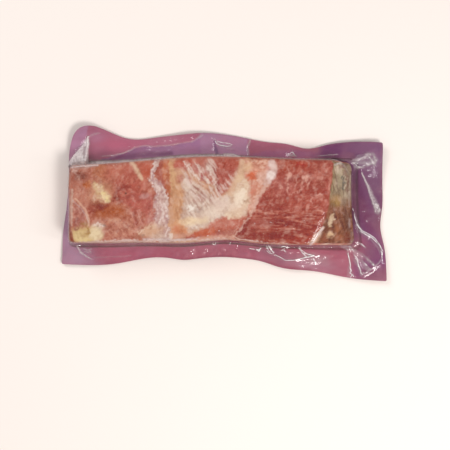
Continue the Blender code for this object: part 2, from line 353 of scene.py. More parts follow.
# ---- the meat --------------------------------------------------------------
def meat_paint(a, b, down, side):
    """Colours of the slab at pattern squares (a, b); down is the drop below the top edge in mm."""
    n = len(a)
    s = Sheet(a, b, 1.4, 0.9, 3)
    rag = Sheet(a, b, 1.6, 2.2, 7)
    fine = Sheet(a, b, 0.8, 0.6, 40)
    p = Paint(n, (172, 92, 76))
    n1 = fbm(a / 12.0, b / 12.0, 21, 3)
    n2 = fbm(a / 5.0, b / 5.0, 22, 3)
    n3 = fbm(a / 2.1, b / 2.1, 23, 2)
    n4 = fbm(a / 7.0 + 3.0 * n2, b / 7.0, 27, 3)
    bent = 2.2 * fbm(a / 16.0, b / 16.0, 28, 2)
    streak_h = fbm(a / 11.0, (b + bent) / 1.4, 24, 3)                # fibres along the slab
    diag = a * 0.55 + b * 0.84, -a * 0.84 + b * 0.55 + bent        # along, across the fan
    streak_d = fbm(diag[0] / 9.0, diag[1] / 1.5, 25, 3)
    steep = a * 0.25 + b * 0.97, -a * 0.97 + b * 0.25 + bent
    streak_s = fbm(steep[0] / 8.0, steep[1] / 1.6, 26, 3)

    # left block
    left = patch(s, [(-30, -30), (86, -30), (88, 30), (90, 60), (96, 120), (-30, 120)], 3)
    p.lay(left, (180, 104, 84))
    p.lay(left * step(-0.05, 0.3, n4), (196, 124, 102), 0.6)
    specks = fbm(a / 2.4 + n4, b / 2.4 - n4, 34, 3)
    p.lay(left * step(0.05, 0.3, -n4), (166, 88, 72), 0.6)
    p.lay(s.blob(13, 30, 13, 20, 10, 0.6), (192, 128, 106), 0.75)
    p.lay(s.blob(9, 9, 15, 12, 20, 0.7), (168, 100, 82), 0.8)
    p.lay(rag.blob(12, 10, 6.5, 3.4, 25, 0.5), (136, 70, 56), 0.9)
    p.lay(rag.blob(8, 13, 3.0, 2.4, 25, 0.5), (146, 84, 70), 0.8)
    p.lay(rag.blob(7, 5, 3.4, 2.4, 0, 0.6), (214, 180, 168), 0.7)
    p.lay(s.blob(13, 1.0, 13, 2.4, -4, 0.6), (206, 170, 158), 0.8)
    p.lay(s.blob(33, 5, 7, 9, 0, 0.6), (186, 116, 82), 0.85)
    p.lay(rag.blob(26.5, 6, 1.8, 6, 8, 0.6), (166, 96, 66), 0.75)
    p.lay(rag.blob(37, 14, 2.4, 2.0, 0, 0.6), (164, 92, 68), 0.6)
    p.lay(s.blob(50, 8, 13, 9, -8, 0.7), (190, 106, 86), 0.95)
    p.lay(s.blob(63, 5, 7, 8, 10, 0.7), (184, 98, 82), 0.8)
    p.lay(s.blob(46, 13, 8, 4, -30, 0.7), (196, 124, 102), 0.7)
    p.lay(s.blob(60, 24, 17, 13, 15, 0.6), (172, 82, 68), 0.95)
    p.lay(s.blob(66, 20, 8, 8, 0, 0.7), (184, 92, 76), 0.7)
    p.lay(rag.stroke([(46, 29, 1.2), (50, 23, 2.2), (56, 20.5, 2.6), (62, 21.5, 1.8)], 0.6), (150, 62, 50), 0.85)
    p.lay(rag.stroke([(56, 30, 1.4), (61, 32, 1.8), (66, 29, 1.6)], 0.6), (152, 64, 56), 0.7)
    p.lay(rag.blob(54.5, 27.5, 2.8, 2.2, 30, 0.6), (196, 118, 98), 0.8)
    p.lay(rag.blob(49, 33, 3.4, 3.0, 40, 0.5), (140, 54, 34), 0.95)
    p.lay(rag.blob(54.5, 35.5, 3.4, 2.0, 30, 0.6), (146, 60, 44), 0.8)
    p.lay(s.blob(69, 38, 13, 9, 0, 0.7), (186, 96, 84), 0.85)
    p.lay(s.blob(42, 47, 19, 9, 4, 0.55), (172, 92, 56), 1.0)
    p.lay(s.blob(44, 44, 11, 5, -12, 0.6), (176, 90, 46), 0.8)
    p.lay(rag.blob(33, 40.5, 7.5, 4.2, 12, 0.5), (142, 58, 44), 0.95)
    p.lay(rag.blob(24.5, 45, 4.6, 4.6, 0, 0.6), (158, 72, 58), 0.85)
    p.lay(rag.stroke([(38, 46, 1.6), (44, 51, 2.0), (52, 50, 1.6)], 0.7), (154, 72, 44), 0.7)
    p.lay(rag.blob(57, 42, 4.5, 3.0, 30, 0.7), (190, 122, 98), 0.6)
    p.lay(s.blob(13, 50, 5.5, 11, -12, 0.6), (172, 106, 94), 0.8)
    p.lay(rag.blob(9.5, 57, 3.2, 4.6, 0, 0.6), (146, 84, 78), 0.7)
    p.lay(s.blob(50, 64, 22, 11, 3, 0.6), (184, 116, 96), 0.95)
    p.lay(left * s.blob(50, 62, 24, 12, 3, 0.6) * step(0.0, 0.35, fbm((a + b) / 9.0, (b - a) / 2.4, 29, 3)), (206, 148, 124), 0.65)
    p.lay(left * s.blob(50, 62, 24, 12, 3, 0.6) * step(0.1, 0.4, -fbm((a + b) / 9.0, (b - a) / 2.4, 29, 3)), (164, 92, 74), 0.55)
    p.lay(rag.stroke([(40, 56, 1.2), (46, 53, 1.6), (52, 55, 1.2)], 0.7), (204, 142, 112), 0.6)
    p.lay(rag.stroke([(66, 47, 1.5), (69, 56, 2.2), (73, 66, 2.0)], 0.6), (154, 72, 60), 0.85)
    p.lay(rag.stroke([(72, 48, 1.0), (75, 58, 1.3), (76, 66, 1.0)], 0.6), (160, 82, 70), 0.6)
    p.lay(fine.stroke([(63, 45, 0.7), (66, 55, 0.9), (70, 66, 0.8)], 0.8), (206, 138, 122), 0.7)
    p.lay(fine.stroke([(70, 46, 0.6), (73, 55, 0.8), (78, 64, 0.6)], 0.8), (208, 146, 132), 0.7)
    p.lay(s.blob(81, 40, 4.5, 12, 5, 0.7), (180, 94, 86), 0.7)
    p.lay(s.blob(84, 55, 4.5, 7, 5, 0.7), (184, 118, 112), 0.7)
    # cream and orange fat of the left block
    cream = np.maximum(rag.stroke([(27.5, 19, 2.6), (31, 23, 4.6), (34, 29, 4.6)], 0.5), rag.stroke([(33, 27, 3.4), (37.5, 31.5, 4.2), (41, 36, 2.0)], 0.5))
    p.lay(s.blob(33, 27, 11, 12, 35, 0.5), (202, 150, 116), 0.7)
    p.lay(cream, (216, 184, 144))
    p.lay(rag.stroke([(29, 19, 1.2), (31.5, 22, 1.8)], 0.7), (230, 206, 172), 0.8)
    p.lay(rag.stroke([(34.5, 28, 1.6), (37, 31.5, 3.0), (38.5, 34, 1.6)], 0.6), (236, 214, 158), 1.0)
    p.lay(rag.blob(31.0, 28.6, 1.4, 2.4, 20, 0.6), (206, 160, 120), 0.7)
    p.lay(rag.blob(27.2, 32.5, 1.4, 3.2, 10, 0.7), (218, 184, 160), 0.7)
    p.lay(s.blob(18.7, 19.6, 3.8, 3.2, 40, 0.5), (184, 96, 42), 1.0)
    p.lay(rag.blob(16.5, 18.0, 1.6, 1.4, 30, 0.6), (158, 80, 44), 0.8)
    p.lay(rag.blob(22.5, 17.0, 1.8, 1.6, 30, 0.6), (208, 142, 92), 0.7)
    p.lay(left * step(0.16, 0.42, specks), (206, 142, 120), 0.38)
    p.lay(left * step(0.16, 0.42, -specks), (146, 72, 56), 0.42)
    p.lay(s.blob(44, 46.5, 13, 6.5, -4, 0.5), (174, 90, 50), 0.6)
    p.lay(rag.blob(33, 40.5, 6.5, 3.4, 12, 0.5), (140, 56, 42), 0.7)
    p.lay(rag.blob(50, 32.5, 3.2, 2.8, 40, 0.5), (138, 52, 34), 0.7)
    p.lay(rag.blob(12, 10, 6.0, 2.8, 25, 0.5), (132, 68, 54), 0.6)
    p.lay(rag.stroke([(48, 28, 1.2), (53, 22.5, 2.0), (60, 21.5, 1.8)], 0.6), (148, 60, 50), 0.6)
    p.lay(s.blob(58.3, 27.8, 0.8, 0.8, 0, 0.6, True), (64, 36, 32), 0.9)
    # pale corner at the front left
    p.lay(s.blob(31, 61, 7, 3.6, -8, 0.5), (212, 178, 158), 0.85)
    p.lay(rag.stroke([(26, 60, 0.8), (31, 58, 1.0), (36, 61, 0.8)], 0.8), (234, 216, 204), 0.8)
    p.lay(rag.blob(31, 62.5, 2.6, 0.9, 30, 0.6), (136, 118, 112), 0.7)
    p.lay(rag.blob(36, 59.5, 2.0, 0.8, 30, 0.6), (150, 132, 124), 0.6)
    p.lay(s.blob(16, 71, 14.5, 9.0, -3, 0.4), (210, 180, 126), 0.95)
    p.lay(s.blob(11.5, 70.5, 4.6, 5.0, 0, 0.7), (222, 198, 146), 0.8)
    p.lay(s.blob(16.5, 74, 6.0, 3.2, 0, 0.6), (224, 200, 146), 0.7)
    p.lay(s.blob(28.5, 69, 6.5, 7.5, -15, 0.45), (232, 212, 174), 0.9)
    p.lay(rag.blob(20.5, 66, 1.8, 3.6, -6, 0.6), (166, 124, 66), 0.9)
    p.lay(rag.blob(17.5, 58.8, 4.6, 2.6, 10, 0.5), (166, 118, 74), 0.85)
    p.lay(rag.blob(20.5, 60.5, 1.0, 1.2, 0, 0.6), (226, 196, 150), 0.7)
    p.lay(rag.blob(8.5, 63.5, 2.2, 1.8, 0, 0.6), (158, 98, 84), 0.8)
    p.lay(rag.stroke([(1.5, 60, 1.6), (2.6, 70, 2.4), (5.2, 79, 2.2)], 0.5), (146, 70, 52), 0.95)
    p.lay(fine.stroke([(1.0, 24, 0.8), (0.6, 40, 1.2), (0.8, 58, 0.8)], 0.8), (176, 132, 128), 0.8)
    p.lay(fine.stroke([(4.5, 24, 0.9), (3.8, 42, 1.3), (4.0, 60, 1.1)], 0.8), (208, 176, 160), 0.75)
    p.lay(fine.stroke([(7, 33, 0.7), (13, 39, 0.9), (18.6, 46, 0.8), (21.0, 54, 1.2), (22, 60, 0.9)], 0.8), (220, 176, 152), 0.8)
    p.lay(fine.stroke([(14, 40, 0.6), (17, 44, 0.8), (19, 53, 0.6)], 0.8), (216, 164, 144), 0.6)
    p.lay(rag.stroke([(4, 42, 1.0), (10, 44, 1.2), (14, 48, 0.8)], 0.8), (206, 158, 144), 0.5)

    # streak between the left block and the seam
    p.lay(s.blob(78, 5, 6, 9, 0, 0.6), (194, 104, 82), 0.95)
    p.lay(rag.blob(80, 6, 3.6, 3.6, 0, 0.6), (178, 80, 56), 0.8)
    p.lay(rag.blob(77, -1, 6, 2.0, 0, 0.6), (186, 96, 76), 0.8)
    p.lay(s.stroke([(63, -5, 2.2), (66.5, 1, 2.4), (70.5, 7, 2.0), (74, 13, 1.5)], 0.7), (220, 184, 156), 0.95)
    p.lay(rag.blob(70, 5, 1.2, 2.6, -30, 0.6), (208, 164, 130), 0.6)
    p.lay(rag.blob(78, 30, 5.0, 3.0, 0, 0.6), (200, 148, 142), 0.8)
    p.lay(rag.blob(76, 20, 3.0, 5.0, 0, 0.7), (200, 118, 100), 0.6)

    # orange strip, tan band and cream middle
    band = patch(s, [(95, -30), (160, -30), (190, 0), (176, 70), (150, 90), (150, 120), (96, 120), (97, 60), (101, 30)], 2)
    p.lay(band, (206, 158, 128))
    p.lay(s.stroke([(98.5, -4, 3.2), (98.8, 8, 4.0), (101, 20, 2.8), (102.5, 32, 1.8)], 0.5), (190, 108, 74), 0.97)
    p.lay(rag.stroke([(99.5, 4, 1.4), (100.6, 20, 1.6), (103, 40, 1.0)], 0.6), (170, 94, 62), 0.7)
    p.lay(rag.stroke([(96.5, 2, 0.8), (97, 14, 1.0)], 0.7), (206, 138, 108), 0.6)
    p.lay(rag.stroke([(103.5, -2, 2.0), (105, 10, 2.2), (106, 24, 1.4)], 0.6), (216, 174, 130), 0.8)
    p.lay(s.blob(111, 38, 6.5, 24, -3, 0.6), (206, 152, 112), 0.9)
    p.lay(band * s.blob(110, 36, 8, 26, -3, 0.5) * step(0.05, 0.4, streak_s), (184, 132, 92), 0.6)
    p.lay(band * s.blob(112, 30, 8, 22, -3, 0.5) * step(0.1, 0.45, -streak_s), (222, 184, 150), 0.6)
    p.lay(s.blob(112, 62, 9, 6, 0, 0.6), (218, 158, 116), 0.85)
    p.lay(rag.blob(109.5, 64, 4.4, 4.4, 20, 0.6), (206, 128, 94), 0.85)
    p.lay(rag.blob(116, 66, 5, 2.4, 20, 0.6), (214, 142, 104), 0.7)
    p.lay(s.blob(118, 70.5, 16, 2.8, -5, 0.6), (206, 150, 128), 0.8)

    middle = patch(rag, [(114, 12), (128, 18), (140, 28), (152, 33), (166, 28), (182, 6), (196, 4), (186, 30), (178, 50), (160, 55), (140, 62), (122, 66), (114, 52), (118, 34)], 3)
    p.lay(middle, (212, 184, 166))
    p.lay(middle * step(0.0, 0.3, n4), (228, 208, 190), 0.8)
    p.lay(middle * step(0.05, 0.35, -n4), (196, 164, 148), 0.6)
    p.lay(middle * step(0.05, 0.4, streak_d), (232, 216, 202), 0.6)
    p.lay(middle * step(0.12, 0.45, -streak_d) * (1 - step(48, 58, b)), (182, 146, 134), 0.65)
    p.lay(rag.blob(124.5, 43.0, 5.0, 3.2, 20, 0.5), (244, 234, 222), 0.97)
    p.lay(rag.blob(131, 47, 3.6, 1.8, 20, 0.6), (186, 162, 152), 0.7)
    p.lay(rag.blob(134.5, 44, 2.8, 1.6, 20, 0.6), (176, 148, 138), 0.6)
    p.lay(s.blob(122, 56, 9, 4.0, -5, 0.6), (240, 214, 178), 0.9)
    p.lay(s.blob(135, 55, 7, 3.2, -12, 0.6), (232, 208, 170), 0.7)
    p.lay(s.blob(146, 47, 11, 5, -12, 0.7), (232, 212, 194), 0.8)
    p.lay(rag.blob(137, 31.5, 2.4, 4.2, -32, 0.6), (172, 132, 126), 0.75)
    p.lay(rag.blob(129, 35, 1.2, 3.4, -32, 0.6), (188, 154, 142), 0.6)

    # red top of the fan and its pale streaks
    top = patch(s, [(106, -40), (184, -40), (178, -4), (170, 8), (163, 26), (152, 30), (146, 20), (132, 10), (120, 4), (108, 3)], 2.5)
    p.lay(top * 0.9, (184, 104, 90))
    p.lay(s.blob(118, -2.4, 12, 3.6, -6, 0.5), (186, 90, 70), 0.95)
    p.lay(rag.blob(108.5, 0.0, 3.6, 2.6, 0, 0.6), (184, 88, 72), 0.85)
    p.lay(rag.blob(112.5, 13.0, 2.8, 4.0, -15, 0.6), (188, 116, 96), 0.8)
    p.lay(rag.blob(120.8, 13.0, 2.0, 5.0, -22, 0.6), (186, 116, 100), 0.8)
    red = s.blob(160, 5, 12.5, 14, 12, 0.45)
    p.lay(red, (170, 84, 72), 0.97)
    p.lay(rag.blob(164, -1, 12, 4.6, 0, 0.6), (168, 74, 54), 0.85)
    p.lay(red * step(0.05, 0.35, -n4), (146, 58, 48), 0.7)
    p.lay(red * step(0.05, 0.35, n4), (190, 104, 90), 0.6)
    p.lay(rag.blob(134.8, 12.2, 3.6, 3.4, 30, 0.5), (178, 84, 88), 0.95)
    p.lay(rag.blob(138.5, 6, 1.6, 2.2, 0, 0.6), (188, 104, 104), 0.8)
    p.lay(rag.blob(131, 3, 5, 4, 30, 0.6), (190, 126, 116), 0.75)
    p.lay(s.blob(142, 2, 4, 6, 0, 0.6), (206, 176, 164), 0.8)
    p.lay(rag.stroke([(146, 0, 1.2), (148, 8, 1.9), (150.5, 18, 1.6), (152.5, 24, 1.0)], 0.5), (150, 66, 58), 0.92)
    p.lay(rag.stroke([(152, 4, 0.9), (156, 16, 1.0)], 0.6), (150, 66, 56), 0.6)
    fan = patch(s, [(114, -2), (148, -8), (152, 20), (160, 30), (160, 36), (128, 36), (116, 18)], 4)
    p.lay(fan * step(0.0, 0.35, streak_d), (216, 190, 178), 0.85)
    p.lay(fan * step(0.12, 0.42, -streak_d), (176, 116, 108), 0.6)
    broken = step(-0.35, 0.2, fbm(diag[0] / 3.6, diag[1] / 2.0, 30, 2))
    for line in (
        [(117, -4, 0.9), (124, 6, 1.3), (131, 17, 1.3), (136, 28, 0.9)],
        [(122, 0, 0.7), (128, 11, 1.0), (133, 20, 0.9)],
        [(129, -1, 0.7), (137, 11, 1.2), (144, 23, 1.0), (151, 33, 0.8)],
        [(140, -1, 0.8), (144, 9, 1.0), (148, 20, 0.9), (153, 30, 0.8)],
        [(124, 20, 0.7), (131, 31, 0.9), (136, 40, 0.7)],
        [(118, 14, 0.6), (124, 26, 0.7), (127, 34, 0.5)],
    ):
        p.lay(rag.stroke(line, 0.8) * broken, (230, 210, 198), 0.85)
    for k in range(14):     # short pale hairs on the right of the red
        a0, b0 = 153.5 + 1.45 * k, 27.5 - 1.25 * k + 1.6 * math.sin(k * 2.1)
        p.lay(fine.stroke([(a0 - 2.6 - 0.6 * math.sin(k), b0 - 5.5 - 1.4 * math.sin(k * 1.7), 0.3), (a0 + 0.5, b0, 0.6)], 0.9), (224, 194, 184), 0.85)
    p.lay(rag.blob(176, -2, 9, 2.8, 0, 0.6), (182, 94, 74), 0.7)

    # the white seam
    seam_w = [(91, -8, 2.0), (88.6, -2, 2.2), (84.6, 8, 2.0), (83.6, 13, 2.6), (88, 17, 3.4), (92.0, 24, 4.6), (93.5, 34, 6.8), (94, 48, 7.2), (93, 58, 6.6), (96, 66, 6.4), (98, 78, 5.0)]
    seam = rag.stroke(seam_w, 0.24)
    p.lay(seam, (200, 164, 154), 0.97)
    weave = fbm(a / 2.0 + 1.2 * n2, b / 3.0, 31, 3)
    p.lay(seam * step(0.0, 0.35, weave), (224, 200, 192), 0.8)
    p.lay(seam * step(0.08, 0.36, -weave), (182, 140, 140), 0.8)
    p.lay(seam * rag.blob(87.5, 50, 4, 14, 5, 0.7), (186, 138, 134), 0.6)
    p.lay(seam * rag.blob(100, 30, 3, 12, 0, 0.6), (234, 214, 202), 0.6)
    for line in (
        [(88.5, -4, 0.9), (85.5, 5, 0.8), (83.6, 12, 1.2), (87, 17, 1.4), (92, 24, 1.0)],
        [(96, 22, 1.0), (99.6, 32, 1.2), (98.6, 44, 0.9), (100.5, 56, 0.9), (98.5, 70, 1.0)],
        [(89, 26, 0.7), (90.5, 40, 0.9), (88.5, 55, 0.7)],
        [(94, 38, 0.6), (95, 50, 0.8), (93, 60, 0.6)],
    ):
        p.lay(rag.stroke(line, 0.8) * step(-0.5, 0.0, weave), (236, 220, 214), 0.7)
    p.lay(rag.blob(84, 66, 12, 6.0, -14, 0.6), (214, 172, 142), 0.85)
    p.lay(rag.blob(90, 71, 7, 4, 0, 0.6), (216, 188, 170), 0.8)
    p.lay(rag.blob(86, 60, 3, 2.4, 0, 0.6), (222, 190, 160), 0.7)
    p.lay(rag.stroke([(72, 69, 0.8), (75, 65, 0.9), (82, 61, 0.7)], 0.8), (230, 200, 174), 0.75)
    p.lay(rag.blob(76, 70, 2.4, 1.0, -30, 0.6), (150, 112, 96), 0.6)
    p.lay(rag.blob(103, 71, 2.2, 2.4, 30, 0.6), (238, 222, 208), 0.75)
    p.lay(rag.blob(97.5, 75, 3.0, 1.2, 0, 0.6), (176, 142, 132), 0.6)

    # orange-red at the front of the middle
    p.lay(s.stroke([(120, 72.5, 2.0), (132, 69, 4.0), (146, 65, 5.4), (160, 60, 6.4), (176, 58, 7.5)], 0.45), (184, 98, 80), 0.95)
    p.lay(rag.stroke([(130, 69.5, 2.2), (138, 67, 3.2), (147, 65, 2.2)], 0.5), (194, 98, 66), 0.85)
    p.lay(rag.blob(140.5, 66.5, 3.0, 2.2, 0, 0.6), (190, 90, 56), 0.5)
    p.lay(rag.stroke([(144, 60, 1.8), (156, 54, 2.4), (168, 50, 1.6)], 0.6), (194, 108, 88), 0.85)
    p.lay(rag.stroke([(150, 60, 1.6), (158, 58, 2.2), (168, 58, 1.8)], 0.7), (204, 140, 124), 0.6)
    p.lay(rag.stroke([(152, 69, 2.6), (166, 67, 3.2), (174, 65, 2.0)], 0.6), (172, 96, 86), 0.8)
    p.lay(rag.stroke([(122, 74.5, 1.2), (150, 73.0, 2.2), (170, 72, 2.0)], 0.7), (202, 148, 134), 0.8)

    # right muscle
    main = patch(s, [(206, -40), (268, -40), (268, 2), (264, 22), (263, 40), (258, 52), (252, 66), (240, 120), (160, 120), (168, 68), (181, 51), (190, 38), (198, 26), (206, 15), (210, 2)], 1.0)
    p.lay(main, (160, 70, 56))
    p.lay(main * step(-0.05, 0.35, n1), (178, 86, 70), 0.5)
    p.lay(main * step(0.0, 0.35, n4) * (1 - step(46, 54, b)), (182, 96, 84), 0.6)
    p.lay(main * step(0.05, 0.4, -n4), (150, 62, 52), 0.65)
    p.lay(main * s.blob(222, 0, 22, 7, 0, 0.6), (168, 76, 58), 0.85)
    p.lay(main * rag.blob(234.6, -1.5, 4.4, 3.6, 0, 0.6), (174, 56, 30), 0.95)
    p.lay(main * rag.blob(212, 5, 4.4, 5.5, 0, 0.6), (158, 68, 54), 0.7)
    p.lay(main * s.blob(256, 10, 9, 10, 0, 0.7), (186, 110, 94), 0.7)
    p.lay(main * s.blob(216, 22, 9, 9, 20, 0.7), (178, 100, 90), 0.7)
    p.lay(main * s.blob(243, 36, 20, 8, 0, 0.7), (182, 90, 74), 0.6)
    low = main * step(45, 54, b + 4.0 * n1 + 0.06 * (a - 200))
    p.lay(low, (150, 58, 46), 0.85)
    p.lay(main * step(0.0, 0.4, streak_h) * step(34, 48, b), (178, 92, 74), 0.6)
    p.lay(main * step(0.12, 0.45, -streak_h) * step(36, 50, b), (134, 48, 38), 0.6)
    p.lay(main * step(0.28, 0.55, streak_h) * step(42, 52, b) * step(0.0, 0.3, n2), (206, 140, 118), 0.6)
    p.lay(main * rag.blob(206, 70, 22, 4.6, -3, 0.6), (138, 46, 30), 0.8)
    p.lay(main * rag.blob(206, 56, 12, 3.4, 0, 0.6), (140, 52, 42), 0.7)
    p.lay(main * rag.blob(238, 74, 14, 4.0, 0, 0.6), (160, 60, 40), 0.75)
    p.lay(main * s.stroke([(170, 73, 2.5), (175, 66, 4.0), (180, 59, 2.6)], 0.5), (140, 50, 38), 0.9)
    p.lay(main * rag.blob(192, 58, 9, 6, 0, 0.7), (172, 94, 82), 0.7)
    p.lay(main * rag.blob(198, 66, 7, 2.4, 10, 0.7), (180, 104, 88), 0.5)
    for a0, b0, w, h, t, k in (
        (222, 10, 2.2, 4.6, 10, 0.9), (221, 4, 1.4, 2.4, 0, 0.6), (238.8, 12.5, 2.6, 3.0, 30, 1.0), (236, 17, 3.4, 1.2, -50, 0.7),
        (220.5, 22, 0.9, 6.0, -4, 0.8), (228.5, 17, 0.8, 6.0, 12, 0.6), (233.5, 24, 4.2, 1.2, -55, 0.8), (241.6, 19, 1.0, 3.2, 20, 0.7),
        (253.5, 13.5, 3.2, 2.4, 20, 0.7), (252, 28.5, 4.4, 1.0, -6, 0.8), (245.5, 34.5, 0.9, 3.4, 0, 0.7), (258, 9, 2.8, 1.0, 30, 0.6),
        (232, 34, 3.6, 0.8, -10, 0.5), (240.5, 42, 0.9, 3.8, 4, 0.6), (213, 22, 2.2, 1.4, 30, 0.7), (262, 22, 1.0, 4.0, 10, 0.6),
        (258, 36, 3.4, 0.8, 5, 0.5), (226, 28, 2.6, 0.8, -30, 0.5), (210, 30, 2.2, 1.0, 20, 0.5), (247, 22, 1.6, 1.2, 0, 0.6),
        (236, 30, 1.2, 1.2, 0, 0.6), (215, 36, 2.0, 0.8, 0, 0.4), (249, 41, 3.0, 0.8, 0, 0.5), (205, 38, 2.2, 1.0, 30, 0.5),
    ):
        p.lay(main * rag.blob(a0, b0, w, h, t, 0.7), (222, 168, 152), k)
    p.lay(main * step(0.18, 0.42, specks) * (1 - step(44, 54, b)), (204, 138, 120), 0.45)
    p.lay(main * step(0.18, 0.42, -specks) * (1 - step(44, 54, b)), (140, 54, 46), 0.45)
    for a0, b0, r in ((227.5, 34, 3.2), (231.5, 23, 1.8), (218.5, 30, 2.4), (246.5, 27, 2.4), (258, 27, 2.4), (237, 20, 1.6), (259.5, 16, 2.2), (213, 42, 2.4), (243, 8, 2.2)):
        p.lay(main * rag.blob(a0, b0, r, r * 0.8, 30, 0.6), (146, 50, 42), 0.75)
    for a0, b0, l in ((190, 44, 9), (204, 47.5, 13), (226, 51, 11), (244, 50, 9), (196, 62, 9), (222, 63, 11), (240, 60, 8), (206, 75, 9), (230, 70, 8), (214, 57, 8), (222, 46, 8), (252, 45, 6), (232, 56, 7), (200, 52, 8)):
        p.lay(main * fine.stroke([(a0 - l / 2, b0, 0.3), (a0 + l / 2, b0 + 1.0, 0.45)], 0.9), (218, 152, 130), 0.55)

    # the fat lump and its white end
    p.lay(s.stroke([(175, -3, 3.6), (176, 8, 6.4), (171, 18, 7.0), (166, 28, 5.0)], 0.5), (218, 180, 150), 0.92)
    p.lay(rag.blob(172, 14, 3.6, 5.0, 20, 0.6), (226, 194, 160), 0.7)
    lump = rag.stroke([(178, 14, 2.6), (176, 22, 5.6), (173, 34, 9.0), (169, 44, 8.6), (162, 49, 5.0)], 0.35)
    p.lay(lump, (222, 192, 164))
    p.lay(lump * step(0.05, 0.35, n4), (230, 206, 182), 0.7)
    p.lay(lump * step(0.1, 0.4, -n4), (208, 168, 142), 0.7)
    p.lay(rag.stroke([(176.5, 25, 2.4), (173.5, 31, 5.4), (171.5, 38, 4.4)], 0.6), (240, 222, 200), 0.97)
    p.lay(rag.blob(160, 42, 12, 5.6, -8, 0.7), (232, 210, 192), 0.8)
    p.lay(rag.blob(152, 38, 7, 3.6, 20, 0.7), (224, 200, 186), 0.7)
    upper = patch(rag, [(179, -5), (204, -6), (209, 2), (206, 13), (198, 24), (190, 38), (183, 50), (180, 44), (184, 30), (181, 18), (177, 10)], 1.2)
    p.lay(upper, (210, 152, 128), 0.95)
    p.lay(upper * step(0.0, 0.3, n3), (230, 188, 168), 0.7)
    p.lay(upper * step(0.05, 0.35, -n3), (190, 116, 92), 0.6)
    p.lay(rag.blob(184, 11.0, 4.8, 4.0, -30, 0.6), (212, 110, 74), 0.97)
    p.lay(rag.blob(188.5, 9.0, 2.0, 1.8, -30, 0.6), (216, 122, 92), 0.8)
    p.lay(rag.blob(189, 3, 6, 3.6, 20, 0.6), (226, 166, 142), 0.75)
    p.lay(rag.blob(181, 2, 4, 5, 20, 0.6), (222, 184, 146), 0.75)
    p.lay(rag.blob(195, 13, 4.5, 7, 20, 0.6), (226, 186, 170), 0.7)
    p.lay(rag.blob(186, 24, 3.6, 5, 20, 0.6), (204, 128, 104), 0.85)
    p.lay(rag.blob(189, 17, 2.0, 2.4, 0, 0.6), (198, 120, 92), 0.7)
    p.lay(rag.blob(182, 29, 2.0, 3.0, 0, 0.6), (212, 160, 140), 0.7)
    p.lay(rag.blob(179, 35.5, 2.2, 1.8, 0, 0.6), (186, 148, 124), 0.75)
    p.lay(rag.blob(185, 38, 3.0, 4.0, 20, 0.6), (220, 176, 158), 0.7)
    p.lay(s.stroke([(204, -3, 3.2), (206, 5, 4.6), (203.5, 12, 4.2), (199, 18, 2.6)], 0.4), (220, 190, 182), 0.97)
    p.lay(s.blob(204.4, 9.8, 3.8, 4.6, 20, 0.5), (244, 230, 224), 0.95)
    p.lay(rag.blob(200, 3, 3.0, 2.4, 0, 0.6), (214, 156, 142), 0.75)
    p.lay(rag.blob(205, 0.5, 2.4, 1.8, 0, 0.6), (232, 210, 202), 0.7)
    p.lay(rag.stroke([(200, 16, 1.4), (195, 25, 2.0), (189, 37, 1.6), (183, 49, 1.0)], 0.7), (212, 170, 154), 0.85)
    p.lay(rag.stroke([(182, 52, 0.9), (175, 61, 1.1), (168, 69, 0.8)], 0.8), (214, 172, 158), 0.75)
    p.lay(rag.stroke([(176, 52, 0.6), (171, 60, 0.8), (164, 68, 0.6)], 0.8), (206, 154, 140), 0.6)
    p.lay(fine.stroke([(166, 71, 0.6), (172, 74.5, 0.8), (190, 76.5, 0.7)], 0.8), (222, 186, 168), 0.7)

    # sloped right end
    end = patch(s, [(268, -30), (300, -30), (300, 120), (244, 120), (250, 74), (256, 62), (259, 52), (262, 40), (264, 24), (267, 6)], 1.0)
    p.lay(end, (148, 98, 68))
    upper_end = end * (1 - step(28, 42, b + 4 * n1))
    p.lay(upper_end, (140, 118, 88), 0.95)
    p.lay(upper_end * step(0.0, 0.35, streak_s), (174, 156, 124), 0.7)
    p.lay(upper_end * step(0.08, 0.4, -streak_s), (122, 96, 76), 0.7)
    p.lay(end * rag.blob(272, 3, 3.6, 4.0, 0, 0.6), (200, 182, 156), 0.85)
    p.lay(end * rag.blob(275, 12, 3.0, 9, 0, 0.6), (178, 164, 132), 0.8)
    p.lay(end * rag.blob(277, -1, 4.0, 1.6, 0, 0.6), (120, 64, 46), 0.85)
    # painted shade: dark vertical line down the sloped end
    p.lay(end * rag.stroke([(277, 9, 0.9), (278.2, 15, 1.5), (278.6, 22, 0.9)], 0.6), (84, 82, 68), 0.92)
    p.lay(end * rag.stroke([(281, 2, 1.2), (283.5, 12, 1.4), (283.5, 24, 1.0)], 0.7), (122, 82, 60), 0.85)
    p.lay(end * rag.stroke([(280.5, 8, 0.5), (281.6, 16, 0.7), (280.8, 25, 0.5)], 0.7), (208, 198, 172), 0.8)
    p.lay(end * s.blob(271, 35, 6.0, 5.6, 0, 0.6), (164, 122, 58), 0.9)
    p.lay(end * rag.blob(268, 38.5, 3.0, 3.0, 0, 0.6), (128, 96, 48), 0.8)
    p.lay(end * rag.blob(281, 29, 3.0, 2.6, 0, 0.6), (192, 172, 146), 0.8)
    p.lay(end * rag.blob(278.5, 36, 3.0, 3.4, 0, 0.6), (140, 110, 88), 0.8)
    lower_end = end * step(38, 46, b + 3 * n1)
    p.lay(lower_end, (126, 72, 48), 0.92)
    p.lay(lower_end * step(0.0, 0.35, streak_s), (160, 100, 70), 0.6)
    p.lay(lower_end * step(0.08, 0.4, -streak_s), (98, 50, 36), 0.75)
    p.lay(end * rag.blob(282.5, 52, 3.2, 12, -4, 0.6), (112, 66, 46), 0.85)
    p.lay(end * rag.stroke([(266.5, 49, 1.2), (265.4, 55, 2.2), (264, 60, 1.2)], 0.6), (214, 188, 156), 0.95)
    p.lay(end * rag.blob(268.5, 52.5, 1.0, 2.0, 0, 0.6), (232, 212, 184), 0.8)
